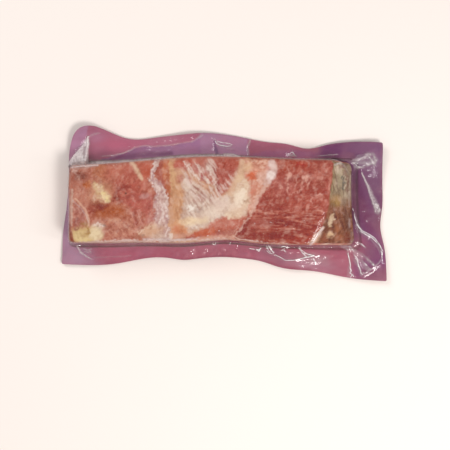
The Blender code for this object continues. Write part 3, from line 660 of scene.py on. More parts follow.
    p.lay(end * rag.blob(265.6, 69, 3.8, 2.6, 10, 0.5), (218, 182, 144), 0.95)
    p.lay(end * rag.blob(272, 62, 3.0, 4.0, 0, 0.6), (176, 112, 78), 0.7)
    p.lay(end * rag.blob(283, 72, 3.2, 6, 0, 0.6), (128, 60, 38), 0.85)
    p.lay(end * rag.blob(274, 72, 4.0, 3.0, 0, 0.6), (170, 102, 70), 0.7)
    p.lay(end * rag.blob(259, 72, 2.6, 4.0, 20, 0.6), (158, 92, 68), 0.7)
    p.lay(rag.stroke([(243, 79, 2.2), (249, 72, 2.8), (255, 63, 1.8)], 0.5), (206, 164, 140), 0.92)
    p.lay(fine.stroke([(245, 79, 0.8), (251, 70, 1.1), (255.5, 62, 0.7)], 0.7), (236, 214, 198), 0.9)
    p.lay(fine.stroke([(250, 79, 0.5), (254, 72, 0.7), (257, 64, 0.5)], 0.7), (118, 80, 64), 0.6)

    # pale strip along the front edge
    strip = rag.stroke([(6, 79.5, 0.6), (34, 77.5, 1.6), (60, 76.4, 1.8), (90, 76.6, 1.5), (120, 75.4, 1.2), (150, 74.6, 0.9), (172, 75, 0.7), (196, 77.4, 0.6), (238, 80, 0.7)], 0.6)
    p.lay(strip, (214, 190, 182), 0.85)

    # walls: layers of lean and fat that run round the slab
    wall = step(0.8, 3.0, down) * (side != 1)
    level = down + 2.2 * fbm(a / 16.0, b / 16.0, 71, 3)
    wp = Paint(n, (188, 112, 96))
    wp.lay((1 - step(4.0, 8.0, level)) * (1 - step(120, 180, a)), (212, 184, 174))
    wp.lay(np.exp(-(((level - 12.5) / 2.6) ** 2)), (216, 184, 164), 0.9)
    wp.lay(np.exp(-(((level - 17.5) / 2.4) ** 2)), (152, 70, 58), 0.8)
    wp.lay(np.exp(-(((level - 22.5) / 1.8) ** 2)), (214, 178, 156), 0.8)
    wp.lay(step(26.0, 28.0, level), (196, 152, 134), 0.8)
    wp.lay(step(0.05, 0.5, fbm(a / 6.0, down / 1.6, 73, 3)), (200, 132, 112), 0.5)
    wp.lay(step(0.05, 0.5, -fbm(a / 6.0, down / 1.6, 74, 3)), (148, 76, 62), 0.5)
    m = np.clip(wall, 0, 1)[:, None]
    rgb = p.rgb * (1 - m) + wp.rgb * m
    # mottling: paler and darker flecks of every size, drawn out along the fibres
    fibre = streak_h * step(36, 50, b) * main * 0.5 + streak_d * fan * 0.6 + streak_s * end * 0.5
    vary = 0.42 * fbm(a / 5.5, b / 5.5, 51, 3) / 0.3 + 0.26 * fbm(a / 2.2, b / 2.2, 52, 2) / 0.3 + 0.4 * fibre / 0.3
    pale = (np.clip(vary - 0.1, 0, 1.2) * 0.42)[:, None]
    dark = (np.clip(-vary - 0.1, 0, 1.2) * 0.50)[:, None]
    rgb = rgb * (1 - pale) + (rgb * 0.45 + srgb(232, 200, 184) * 0.55) * pale
    rgb = rgb * (1 - dark * (1 - np.array([0.66, 0.50, 0.44])))
    rgb = np.maximum(rgb - 0.020, rgb * 0.35)      # the film over it adds this much light back
    relief = -0.9 * seam + 0.9 * lump + 0.5 * cream + 0.35 * n2 + 0.18 * n3 + 0.12 * streak_h * low - 0.4 * red
    fatty = np.clip((rgb[:, 1] / np.maximum(rgb[:, 0], 1e-3) - 0.35) / 0.4, 0, 1)
    return rgb, relief, fatty, streak_h * low + streak_d * fan * 0.8


def build_meat():
    nx, ny = 400, 112
    top_edge, foot = inset(TOP_EDGE, 0.8), inset(FOOT, 1.6)
    inner = inset(TOP_EDGE, TOP_ROUND + 0.8, 0.0)
    loop = Loop(nx, ny, inner)
    plan = loop.grid()
    t2 = plan[loop.index]
    e2, f2 = loop.on(top_edge), loop.on(foot)
    t3 = np.column_stack([t2, slab_top(*t2.T) - 0.5])
    e3 = np.column_stack([e2, slab_top(*e2.T) - 1.2])
    f3 = np.column_stack([f2, np.full(len(f2), 1.0)])
    down = f3 - e3
    length = np.linalg.norm(down, axis=1, keepdims=True)
    a3 = e3 + down * np.minimum(0.45, TOP_ROUND / length)
    b3 = f3 - down * np.minimum(0.3, 4.0 / length)
    under = np.column_stack([mix(f2, t2, 0.30), np.full(len(f2), 1.0)])
    rows = [bez(t3, e3, a3, k / 9) for k in range(1, 10)]
    rows += [mix(a3, b3, k / 24) for k in range(1, 25)]
    rows += [bez(b3, f3, under, k / 6) for k in range(1, 7)]
    verts = [np.column_stack([plan, slab_top(*plan.T) - 0.5])] + rows
    n0, m = len(plan), len(f2)
    rings = [loop.index] + [n0 + r * m + np.arange(m) for r in range(len(rows))]
    side = np.concatenate([np.full(n0, 4)] + [loop.side] * len(rows))
    verts = np.concatenate(verts)
    # pattern position: the top's own, carried over the edge by the drop
    drop = np.concatenate([np.zeros(n0)] + [t3[:, 2] - r[:, 2] for r in rows])
    out = np.concatenate([np.zeros((n0, 2))] + [(f2 - t2) / np.maximum(np.linalg.norm(f2 - t2, axis=1, keepdims=True), 1e-6)] * len(rows))
    carried = np.clip(drop, 0, 40) * (side != 1)
    px = verts[:, 0] + out[:, 0] * carried * 0.8
    py = verts[:, 1] + out[:, 1] * carried * 0.8
    a, b = top_squares(px, py)
    rgb, relief, fatty, grain = meat_paint(a, b, drop, side)
    faces = [grid_faces(nx, ny), band_faces(rings)]
    lift = relief * (1 - step(20, 28, drop))
    dirs = np.zeros_like(verts)
    dirs[:, 2] = 1 - step(3, 8, drop)
    dirs[:, :2] = out * step(1, 6, drop)[:, None]
    verts = verts + dirs * (lift - 0.6)[:, None] * 0.55
    ob = make_mesh("bacon_slab", placed(verts), np.concatenate(faces), [("tint", rgb), ("fatty", fatty[:, None].repeat(3, 1))], [rings[-1][::-1]])
    return ob


# ---- the film --------------------------------------------------------------
def ridge(s, pts, height):
    """Height of a soft fold along a line of (a, b, half width) points."""
    return 0.5 * height * s.stroke(pts, 0.95, True) ** 1.3


def film_rises(a, b):
    """Rise of the front film over the back film on the rim, and its haze: milky film where it is gathered, with painted
    highlights along the folds and creases.
    """
    s = Sheet(a, b, 0.5, 0.25, 60)
    z, haze_and_painted_highlights = np.zeros_like(a), np.zeros_like(a)

    # tent at the back left corner: milky gathered film, with painted highlights along its ridges
    tent = patch(s, [(28.5, 13.5), (27.5, 44), (8, 44), (9, 38), (20, 24)], 1.2)
    z += 9.0 * tent * step(14, 42, b)
    z += ridge(s, [(28, 13, 1.5), (27.5, 28, 2.4), (26.5, 42, 3.4)], 3.2)
    z += ridge(s, [(27.5, 14, 1.4), (18, 27, 1.8), (9, 38, 2.2)], 1.6)
    haze_and_painted_highlights += tent * (0.74 + 0.22 * step(24, 40, b) + 0.16 * fbm(a / 2.6, b / 7.0, 61, 3))
    haze_and_painted_highlights -= 0.30 * s.stroke([(24.5, 24, 1.2), (24.0, 36, 1.6)], 0.8)
    haze_and_painted_highlights += 0.45 * s.stroke([(27.5, 14, 0.8), (27.2, 30, 0.9), (26.6, 42, 1.1)], 0.7)
    haze_and_painted_highlights += 0.30 * s.stroke([(27.5, 14, 0.6), (19, 26, 0.7), (10, 37, 0.9)], 0.7)
    haze_and_painted_highlights += 0.22 * s.stroke([(28, 14, 0.7), (33, 10.5, 0.8), (39, 9.5, 0.5)], 0.8)

    # long fold along the back rim; the pale lines along it are painted highlights
    fold = [(52, 33.5, 0.9), (64, 28.6, 1.3), (74, 23.6, 1.5), (83, 21.8, 1.4), (94, 22.6, 1.3), (112, 21.0, 1.5), (131, 17.8, 1.7), (141, 11.5, 2.0)]
    z += ridge(s, [(x, y, w * 2.2) for x, y, w in fold], 2.3)
    haze_and_painted_highlights += 0.32 * s.stroke([(x, y, w * 0.55) for x, y, w in fold], 0.9) * (0.75 + 0.5 * fbm(a / 4.0, b / 4.0, 62, 2))
    low = [(41, 32.8, 0.8), (54, 31.2, 1.0), (63, 29.0, 0.9), (71, 26.0, 0.7)]
    z += ridge(s, [(x, y, w * 2.0) for x, y, w in low], 1.0)
    haze_and_painted_highlights += 0.30 * s.stroke([(x, y, w * 0.6) for x, y, w in low], 0.9)
    z += 1.6 * s.blob(108, 29, 40, 5.0, -3, 0.9, True)

    # folded triangle in the back rim; its white lines are painted highlights
    z += ridge(s, [(153, 14, 1.8), (154, 22, 2.2), (153, 30, 1.8)], 1.8)
    z += ridge(s, [(153, 15, 1.2), (158, 21, 1.4), (168, 24.5, 1.6), (176, 26, 1.0)], 1.6)
    z += ridge(s, [(156, 26, 1.2), (170, 30, 1.8), (180, 32, 1.4)], 1.4)
    haze_and_painted_highlights += 0.25 * fine_line(s, [(153.2, 15.5), (157.4, 20.6), (163, 22.0), (170, 21.4)], 0.9)
    haze_and_painted_highlights += 0.2 * fine_line(s, [(156.5, 18.4), (163, 18.8), (170.5, 20.4)], 0.8)
    haze_and_painted_highlights += 0.24 * fine_line(s, [(158, 22.4), (166, 24.6), (172, 25.4)], 0.8)
    haze_and_painted_highlights += 0.60 * s.stroke([(163, 30.6, 1.2), (170, 31.2, 1.6), (177, 33.0, 0.9)], 0.7)
    haze_and_painted_highlights += 0.34 * s.stroke([(189, 16, 0.8), (186.5, 23, 0.9), (187, 31, 0.7)], 0.9)
    z += ridge(s, [(189, 15, 1.4), (187, 24, 1.6), (187, 32, 1.2)], 1.0)
    # small bump and the notch further right
    z += 2.6 * s.blob(230.5, 30, 4.2, 4.0, 0, 0.9)
    haze_and_painted_highlights += 0.5 * s.blob(230.5, 31.5, 3.4, 1.6, 0, 0.8) + 0.35 * fine_line(s, [(232, 25), (231, 29), (235, 33)], 0.5)
    haze_and_painted_highlights += 0.34 * fine_line(s, [(257, 32.4), (266, 31.2), (276, 30.6)], 0.5)
    z += ridge(s, [(255, 32.5, 1.2), (277, 30.4, 1.6)], 1.0)

    # fan at the back right corner: milky gathered film, with painted highlights along its thin lines
    fan = patch(s, [(287, 38.5), (296, 31.5), (304, 29.2), (311, 30.2), (314.5, 34), (313.5, 40.5), (303, 44.5), (292, 46.5)], 1.1)
    ribs = np.sin((b - 0.28 * (a - 288) * (b - 40) / 8.0) * 2.1 + 1.4 * fbm(a / 5.0, b / 3.0, 63, 2))
    z += fan * (3.6 * (1 - step(288, 316, a)) + 1.2 + 0.55 * ribs)
    haze_and_painted_highlights += fan * (0.20 + 0.12 * ribs + 0.14 * fbm(a / 2.2, b / 2.2, 64, 2))
    haze_and_painted_highlights += 0.26 * s.stroke([(306, 29.4, 1.2), (311.5, 31, 1.6), (314.6, 36, 1.8), (312.6, 41, 1.2)], 0.8)
    haze_and_painted_highlights += 0.22 * fine_line(s, [(289, 41), (297, 36.5), (303, 34.5)], 1.1) + 0.22 * fine_line(s, [(296, 44.6), (303, 42), (311, 39)], 1.0)
    haze_and_painted_highlights += 0.22 * fine_line(s, [(304, 31), (309, 36), (312, 40)], 0.9)

    # long fold on the right rim; its light streak and the two dots near its end are painted highlights
    z += ridge(s, [(299, 47, 1.4), (307, 63, 2.6), (313, 78, 3.8), (318, 90, 4.0)], 3.0)
    haze_and_painted_highlights += 0.42 * s.stroke([(299.6, 49, 0.6), (307, 64, 1.3), (312.6, 78, 2.4), (316, 87, 2.6)], 0.7)
    haze_and_painted_highlights += 0.32 * fine_line(s, [(299.4, 48.6), (306, 63), (311, 78), (313.6, 88)], 0.5)
    haze_and_painted_highlights += 0.55 * s.blob(315, 81.5, 1.7, 1.4, 0, 0.8) + 0.5 * s.blob(317.6, 86, 1.2, 1.2, 0, 0.8)

    # double ridge from the slab's right edge to the front right corner, and its arc; their thin white lines are painted
    # highlights
    run = [(291.5, 88, 1.2), (294.5, 99, 1.5), (299.6, 106.6, 1.6), (310.8, 113.4, 1.8), (316.6, 120, 1.9), (319.6, 127.5, 1.7)]
    z += ridge(s, [(x, y, 2.2 * w) for x, y, w in run], 3.4)
    line = [(x, y) for x, y, _ in run]
    haze_and_painted_highlights += 0.34 * fine_line(s, line, 0.8)
    haze_and_painted_highlights += 0.2 * fine_line(s, [(x - 2.0, y + 1.8) for x, y in line[1:]], 0.6)
    arc = [(319.4, 129), (319.2, 134), (316, 139), (310.6, 143.6), (303.4, 148.2), (298.5, 149.2)]
    z += ridge(s, [(x, y, 2.6) for x, y in arc], 1.6)
    haze_and_painted_highlights += 0.42 * fine_line(s, arc, 0.5)
    z += ridge(s, [(295, 117.6, 1.4), (305, 124.6, 1.6)], 1.0)
    haze_and_painted_highlights += 0.5 * fine_line(s, [(296, 118.4), (303.6, 123.6)], 0.4)

    # fan at the front right corner; the white lines along its pleats are painted highlights
    ear = patch(s, [(274, 119.5), (287, 120.5), (299, 129), (312, 139.5), (309, 145), (301, 149), (293, 141), (286, 128), (278, 124)], 1.2)
    spoke = np.arctan2(b - 118.0, a - 279.0)
    pleats = np.sin(spoke * 34.0 + 1.6 * fbm(a / 7.0, b / 7.0, 65, 2))
    z += ear * (5.5 * (1 - step(276, 306, a)) + 1.0 + 0.5 * pleats)
    haze_and_painted_highlights += ear * (0.09 + 0.09 * pleats + 0.10 * fbm(a / 2.4, b / 2.4, 66, 2))
    for line, w, h in (
        ([(284.5, 125), (286.4, 133), (288, 141), (286.2, 148), (285.6, 152.6), (288.6, 155)], 0.5, 0.8),
        ([(291.5, 129.5), (294.6, 137), (297.0, 146), (298.8, 151)], 0.5, 0.75),
        ([(286, 122.5), (296, 132), (304, 141), (308, 145.6)], 0.5, 0.45),
        ([(276, 121.6), (286, 121.4), (300, 130), (311.6, 140.6)], 0.6, 0.5),
        ([(288.6, 148), (291, 151), (289.6, 155.4)], 0.4, 0.6),
    ):
        z += ridge(s, [(x, y, 1.6) for x, y in line], 1.1)
        haze_and_painted_highlights += 0.42 * h * fine_line(s, line, 1.3 * w)
    haze_and_painted_highlights += 0.3 * s.blob(310.2, 140.2, 1.1, 0.9, 0, 0.8)

    # crumpled stretch of the front rim; the faint white lines along its creases are painted highlights
    crumple = s.blob(222, 127, 42, 8.5, 6, 0.7, True)
    z += crumple * 0.55 * fbm(a / 3.4, b / 3.0, 67, 3)
    for line, w, h, rise in (
        ([(186.4, 124), (191, 124.4)], 0.5, 0.5, 0.4),
        ([(194.4, 124.4), (197.4, 125.8), (199.2, 124.2)], 1.0, 1.0, 0.8),
        ([(203, 126.4), (205.6, 129.2), (210.4, 130)], 0.55, 0.7, 0.8),
        ([(204.6, 121.4), (206.4, 126.4), (210, 129.6)], 0.45, 0.7, 0.8),
        ([(207.6, 121.4), (209.6, 125.6), (212.4, 128.4)], 0.45, 0.65, 0.8),
        ([(204.4, 124.4), (209.6, 123.2)], 0.4, 0.5, 0.3),
        ([(217, 122.4), (221, 121.2), (225, 122.6)], 0.7, 0.8, 0.7),
        ([(218.4, 127.2), (222, 125.0), (224.6, 127.6)], 0.6, 0.75, 0.6),
        ([(210.4, 129.6), (215.6, 133), (222.4, 136.2), (232, 135.4), (242.6, 133.2), (252.4, 131.8)], 0.45, 0.85, 1.2),
        ([(236.6, 123.2), (240, 127.6), (245, 131.8)], 0.5, 0.8, 1.0),
        ([(237, 123.2), (243.6, 128.0), (249.6, 131.8)], 0.4, 0.6, 0.7),
        ([(241, 133.4), (245, 131.2), (250, 132.6)], 0.7, 0.7, 0.6),
        ([(249, 133.8), (251.4, 136.6), (254, 138.6)], 0.5, 0.8, 0.6),
        ([(262.4, 141.8), (264.2, 138.0), (266.4, 141.8)], 0.6, 0.4, 0.8),
        ([(152, 119.4), (151.6, 122.6)], 0.5, 0.6, 0.3),
        ([(168, 119), (166.4, 123.6)], 0.3, 0.4, 0.3),
        ([(267, 144.4), (272, 142.4)], 0.9, 0.22, 0.6),
    ):
        z += ridge(s, [(x, y, 1.5) for x, y in line], rise)
        haze_and_painted_highlights += 0.12 * h * fine_line(s, line, 1.6 * w)

    # front left corner; the white lines along its crease are painted highlights
    crease = [(17, 122, 0.9), (20.4, 128, 1.2), (27, 132.2, 0.9), (31, 134.4, 0.6)]
    z += ridge(s, [(x, y, w * 2.4) for x, y, w in crease], 2.6)
    haze_and_painted_highlights += 0.5 * s.stroke([(x, y, w * 0.75) for x, y, w in crease], 0.8)
    for line in ([(23, 124.2), (27, 125.6), (31, 124.6)], [(24.4, 127), (28, 127.8)], [(29, 125.8), (30.4, 128.4)]):
        haze_and_painted_highlights += 0.34 * fine_line(s, line, 0.5)
        z += ridge(s, [(x, y, 1.4) for x, y in line], 0.6)
    haze_and_painted_highlights += 0.12 * fine_line(s, [(34, 133), (50, 132.6), (70, 131.2)], 0.7)
    return z, np.clip(haze_and_painted_highlights, 0, 1)


def fine_line(s, pts, w):
    return s.stroke([(x, y, w) for x, y in pts], 0.7)


def back_film_z(x, y, share):
    a, b = rim_squares(x, y)
    z = rim_base(x, y, share)
    return z + 0.35 * share * fbm(a / 14.0, b / 9.0, 80, 3) + 0.25 * step(0.1, 0.4, share) * fbm(a / 5.0, b / 5.0, 81, 2)


# Painted highlights on the film's creases, where it would mirror the lamp: (half width, (a, b) points) in rim squares.
# They are laid on the film as narrow white ribbons.
PAINTED_CREASE_GLINTS = (
    (0.50, ((187.6, 123.9), (190.5, 124.7), (193.7, 125.0))),
    (1.25, ((194.6, 125.4), (197.4, 125.9), (199.4, 124.0))),
    (0.50, ((196.4, 127.6), (198.4, 126.2))),
    (0.42, ((206.5, 120.7), (209.3, 126.1), (212.6, 129.4))),
    (0.42, ((204.8, 126.1), (207.6, 128.6), (211.0, 129.4))),
    (0.40, ((204.8, 121.6), (206.2, 125.0), (209.0, 128.4))),
    (0.42, ((208.0, 122.0), (210.6, 126.4), (212.8, 128.6))),
    (0.36, ((204.2, 124.4), (207.6, 123.6), (210.4, 124.8))),
    (0.55, ((219.3, 123.1), (221.4, 122.3), (223.7, 122.4), (225.9, 124.6))),
    (0.60, ((219.3, 126.3), (221.0, 125.6), (222.6, 125.7), (223.7, 128.0))),
    (0.45, ((216.6, 121.2), (218.2, 121.8))),
    (0.70, ((221.8, 123.8), (222.8, 124.6))),
    (0.45, ((212.6, 130.2), (218.2, 132.7), (223.7, 136.0), (231.5, 135.9), (239.2, 134.2), (244.8, 133.0), (249.0, 132.2), (252.6, 131.4))),
    (0.50, ((236.5, 123.3), (238.4, 126.0), (240.3, 128.3), (244.8, 132.7))),
    (0.42, ((237.6, 123.9), (243.7, 129.0), (248.1, 130.9), (252.6, 131.6))),
    (0.42, ((239.4, 125.8), (240.4, 129.4))),
    (0.42, ((242.0, 128.2), (242.4, 131.6))),
    (0.42, ((247.0, 129.8), (250.4, 130.8), (252.8, 131.0))),
    (0.55, ((241.6, 133.6), (244.0, 132.6))),
    (0.50, ((251.0, 134.6), (252.4, 136.2), (254.4, 138.4))),
    (0.40, ((169.3, 117.7), (168.2, 120.8))),
    (0.45, ((151.0, 119.6), (153.8, 120.8))),
    (0.45, ((154.6, 118.0), (154.2, 121.0))),
    (0.50, ((285.3, 127.2), (285.9, 131.0), (286.9, 134.4), (288.1, 140.5), (287.5, 143.6), (289.4, 146.0), (287.2, 148.3), (289.9, 150.3), (288.0, 153.0))),
    (0.50, ((289.4, 146.0), (287.6, 145.0))),
    (0.55, ((290.2, 150.2), (291.2, 151.4))),
    (0.45, ((293.6, 132.7), (294.9, 137.4), (295.8, 141.6), (297.5, 145.2), (298.6, 149.4))),
    (0.45, ((297.5, 145.2), (296.6, 143.4))),
    (0.40, ((301.6, 138.6), (304.6, 141.6))),
    (0.36, ((309.2, 140.0), (311.2, 140.4), (310.4, 141.6))),
    (0.40, ((291.6, 90.0), (292.8, 95.0), (294.4, 99.5))),
    (0.60, ((294.2, 99.6), (296.6, 103.4), (299.4, 106.8))),
    (0.42, ((299.2, 106.6), (305.8, 109.6), (312.5, 113.9), (315.4, 117.8))),
    (0.42, ((297.2, 106.6), (303.4, 110.6), (309.6, 113.6), (314.4, 118.6))),
    (0.42, ((315.6, 118.4), (318.0, 122.4), (320.3, 127.2))),
    (0.60, ((317.6, 126.6), (319.6, 128.6), (319.0, 130.6))),
    (0.36, ((290.4, 84.4), (291.2, 87.4))),
    (0.36, ((298.4, 119.0), (301.0, 121.6), (302.4, 122.6))),
    (0.38, ((153.8, 17.3), (155.2, 19.8), (157.4, 21.0), (161.9, 21.9), (166.4, 22.6), (170.4, 21.8))),
    (0.30, ((155.6, 17.0), (161.0, 18.6), (168.6, 19.4), (171.4, 20.8))),
    (0.34, ((228.2, 30.4), (229.6, 28.4), (232.0, 28.8), (233.2, 31.4))),
    (0.40, ((312.0, 79.6), (313.8, 80.4), (315.4, 79.8))),
    (0.40, ((314.4, 83.4), (316.4, 84.6))),
    (0.50, ((27.0, 22.0), (26.6, 26.0))),
)
GLINTS = (     # painted highlights: small bright dots on the taut film over the meat, in squares of the slab's top
    (187.4, 58.0, 0.9, 0.35), (203.5, 57.0, 0.9, 0.4), (151.7, 65.4, 0.6, 0.7), (140.4, 70.5, 0.8, 0.5), (154.4, 52.8, 0.6, 0.4),
    (166.6, 58.8, 0.5, 0.4), (218.6, 60.4, 0.5, 0.3), (226.4, 63.4, 0.6, 0.35), (171.0, 62.4, 0.4, 0.4), (209.6, 63.6, 0.5, 0.3),
    (196.0, 68.4, 0.4, 0.3), (236.8, 55.2, 0.5, 0.3), (159.0, 60.6, 0.4, 0.4),
)


def ribbons(surface_verts, surface_faces):
    """Painted highlights: flat white ribbons along the creases and the glints, laid just over the film's own surface.
    """
    tree = BVHTree.FromPolygons(surface_verts.tolist(), [list(map(int, f)) for f in surface_faces])
    lines = [(0.95 * w, [(a * 0.95 - 153.9, 75.7 - b * 0.952) for a, b in pts]) for w, pts in PAINTED_CREASE_GLINTS]
    lines += [(hw * 0.92, [((a - hl) * 0.92 - 143.5, 33.3 - b * 0.922), ((a + hl) * 0.92 - 143.5, 33.3 - b * 0.922)]) for a, b, hl, hw in GLINTS]
    verts, faces = [], []
    for half, pts in lines:
        pts = np.array(pts)
        gaps = np.linalg.norm(np.diff(pts, axis=0), axis=1)
        dist = np.concatenate([[0], np.cumsum(gaps)])
        t = np.linspace(0, dist[-1], max(4, int(dist[-1] / 0.5)))
        x, y = np.interp(t, dist, pts[:, 0]), np.interp(t, dist, pts[:, 1])
        x = x + 0.16 * fbm(t / 1.7, np.full_like(t, pts[0, 0]), 91, 2)
        y = y + 0.16 * fbm(t / 1.7, np.full_like(t, pts[0, 1]), 92, 2)
        dx, dy = np.gradient(x), np.gradient(y)
        size = np.maximum(np.hypot(dx, dy), 1e-6)
        taper = np.clip(np.minimum(t, dist[-1] - t) / 1.2 + 0.25, 0, 1)
        w = 0.56 * half * taper * (1.0 + 0.45 * fbm(t / 1.4, np.full_like(t, pts[0, 1]), 93, 2))
        first = len(verts)
        for k in range(len(t)):
            for sign in (-1, 0, 1):
                px, py = x[k] - sign * w[k] * dy[k] / size[k], y[k] + sign * w[k] * dx[k] / size[k]
                hit = tree.ray_cast(Vector((px, py, 90.0)), Vector((0, 0, -1)))[0]
                verts.append((px, py, (hit.z if hit else 3.0) + (0.16 if sign else 0.26)))
        for k in range(len(t) - 1):
            for c in (0, 1):
                q = first + 3 * k + c
                heights = [verts[v][2] for v in (q, q + 3, q + 4, q + 1)]
                if max(heights) - min(heights) < 1.2 and not 12.0 < max(heights) < HEIGHT - 5.0:
                    faces.append((q, q + 3, q + 4, q + 1))
    return np.array(verts), np.array(faces)


RIM_STEPS = 46


def build_front_film():
    nx, ny = 330, 94
    inner = inset(TOP_EDGE, TOP_ROUND, 0.0)
    loop = Loop(nx, ny, inner)
    plan = loop.grid()
    t2, e2, f2, c2 = plan[loop.index], loop.on(TOP_EDGE), loop.on(inset(FOOT, 1.4)), loop.on(CUT_EDGE)
    t3 = np.column_stack([t2, slab_top(*t2.T) + 0.35])
    e3 = np.column_stack([e2, slab_top(*e2.T) - 0.2])
    f3 = np.column_stack([f2, back_film_z(*f2.T, np.zeros(len(f2))) + 0.8])
    wall = f3 - e3
    length = np.linalg.norm(wall, axis=1, keepdims=True)
    low_round = e3 + wall * np.minimum(0.45, TOP_ROUND / length)
    high_fillet = f3 - wall * np.minimum(0.3, 3.5 / length)
    gap = np.linalg.norm(c2 - f2, axis=1, keepdims=True)
    reach = np.minimum(0.45, 3.0 / gap)
    g2 = mix(f2, c2, reach)
    g3 = np.column_stack([g2, back_film_z(*g2.T, reach[:, 0]) + 0.35])
    rows = [bez(t3, e3, low_round, k / 8) for k in range(1, 9)]
    rows += [mix(low_round, high_fillet, k / 14) for k in range(1, 15)]
    rows += [bez(high_fillet, f3, g3, k / 6) for k in range(1, 7)]
    shares = [np.zeros(len(f2))] * 28
    for k in range(1, RIM_STEPS + 1):
        s = mix(reach, 1.0, k / RIM_STEPS)
        p = mix(f2, c2, s)
        rows.append(np.column_stack([p, back_film_z(*p.T, s[:, 0]) + 0.35 * (1 - k / RIM_STEPS) + 0.08]))
        shares.append(s[:, 0])
    n0, m = len(plan), len(f2)
    rings = [loop.index] + [n0 + r * m + np.arange(m) for r in range(len(rows))]
    verts = np.concatenate([np.column_stack([plan, slab_top(*plan.T) + 0.35])] + rows)
    share = np.concatenate([np.full(n0, -1.0)] + [s if k >= 28 else np.full(m, -0.5) for k, s in enumerate(shares)])
    a, b = rim_squares(*verts[:, :2].T)
    rise, haze_and_painted_highlights = film_rises(a, b)
    on_rim = step(0.0, 0.02, share)
    hold = (1 - step(0.90, 1.0, share)) * on_rim
    # the wrinkles also climb a little way up the wall
    flange_z = verts[:, 2].copy()
    near = np.concatenate([np.zeros(n0)] + [np.full(m, step(16, 28, float(k))) if k < 28 else np.ones(m) for k in range(len(rows))])
    room = np.maximum(slab_top(*verts[:, :2].T) - 1.0 - verts[:, 2], 0)
    verts[:, 2] += np.minimum(rise, room) * near * np.where(share > 0, 1 - step(0.90, 1.0, share), 1.0)
    # fine radial puckers where the film leaves the foot
    around = np.concatenate([np.zeros(n0)] + [np.cumsum(np.full(m, 1.0)) * 0.9] * len(rows))
    pucker = np.exp(-((np.maximum(share, 0) - 0.02) / 0.12) ** 2) * on_rim
    verts[:, 2] += 0.14 * pucker * fbm(a / 3.0 + b / 5.0, b / 3.0 - a / 5.0, 82, 2)
    # haze of tight film along the slab's edges
    along = fbm(a / 9.0, b / 9.0, 83, 3)
    ring_no = np.concatenate([np.full(n0, 0)] + [np.full(m, k + 1) for k in range(len(rows))])
    side = np.concatenate([np.full(n0, 4)] + [loop.side] * len(rows))
    edge = np.exp(-(((ring_no - 5.0) / 3.0) ** 2)) * (ring_no > 0)
    foot_line = np.exp(-(((ring_no - 28.5) / 3.0) ** 2))
    wall_zone = step(8, 14, ring_no) * (1 - step(26, 32, ring_no))
    haze_and_painted_highlights = haze_and_painted_highlights * np.where(ring_no >= 24, 1.0, 0.0)
    back, front, right, left = side == 2, side == 0, side == 1, side == 3
    ta0 = (verts[:, 0] + 143.5) / 0.92
    root = np.exp(-(((ring_no - 27.0) / 3.0) ** 2))            # where wall turns into rim
    west = 1 - step(165, 178, ta0)
    haze_and_painted_highlights = haze_and_painted_highlights + np.where(back, (0.12 + 0.62 * west) * (0.8 + 0.5 * along) * root + (0.03 + 0.10 * west) * wall_zone + 0.10 * edge, 0)
    haze_and_painted_highlights = haze_and_painted_highlights + np.where(front, (0.06 + 0.06 * along) * wall_zone + (0.55 + 0.3 * along) * (1 - step(120, 170, ta0)) * np.exp(-(((ring_no - 8.0) / 1.8) ** 2)) + 0.05 * root, 0)
    haze_and_painted_highlights = haze_and_painted_highlights + np.where(right, 0.04 * root, 0)
    haze_and_painted_highlights = haze_and_painted_highlights + np.where(left, 0.12 * edge + 0.10 * wall_zone + 0.2 * root, 0)
    ta, tb = top_squares(*verts[:, :2].T)
    ft = Sheet(ta, tb, 0.4, 0.2, 90)
    on_top = np.where(right, (ring_no < 22) * (1.0 - 0.6 * step(9, 14, ring_no)), (ring_no < 9) * 1.0)
    for line, w, h in (
        ([(76, 73.5), (110, 74.5), (126, 73.5)], 0.9, 0.35),
        ([(243, 80), (250, 70), (256, 62)], 1.0, 0.45),
        ([(246, 81), (262, 79), (286, 79.5)], 1.2, 0.6),
        ([(284, 52), (286.5, 66), (287, 77), (284, 80)], 0.9, 0.6),
        ([(281, 2), (286, 8), (285, 24), (284.6, 40)], 0.7, 0.4),
        ([(268, -1), (275, -3.5), (281, 1)], 0.9, 0.4),
        ([(4, 2), (14, 0.6), (30, -0.6)], 0.8, 0.5),
        ([(5, 35), (13, 42), (19, 50), (21, 57)], 0.5, 0.25),
    ):
        haze_and_painted_highlights = haze_and_painted_highlights + h * on_top * fine_line(ft, line, w)
    haze_and_painted_highlights = np.clip(haze_and_painted_highlights, 0, 0.95)
    # tight wrinkles over the meat
    wr = fbm(a / 8.0 + b / 30.0, b / 22.0, 84, 3)
    verts[:, 2] += np.where(ring_no == 0, 0.18 * wr, 0)
    faces = np.concatenate([grid_faces(nx, ny), band_faces(rings)])
    extra, strips = ribbons(verts, faces)
    n_film = len(verts)
    verts = np.concatenate([verts, extra])
    faces = np.concatenate([faces, strips + n_film])
    # the ribbons are painted highlights: full milkiness and the brightest white
    haze_and_painted_highlights = np.concatenate([haze_and_painted_highlights, np.full(len(extra), 1.0)])
    spark = (np.arange(len(verts)) >= n_film) * 1.0
    haze_and_painted_glints = np.column_stack([haze_and_painted_highlights, spark, np.zeros(len(verts))])
    return make_mesh("film_front", placed(verts), faces, [("haze_and_painted_glints", haze_and_painted_glints)])


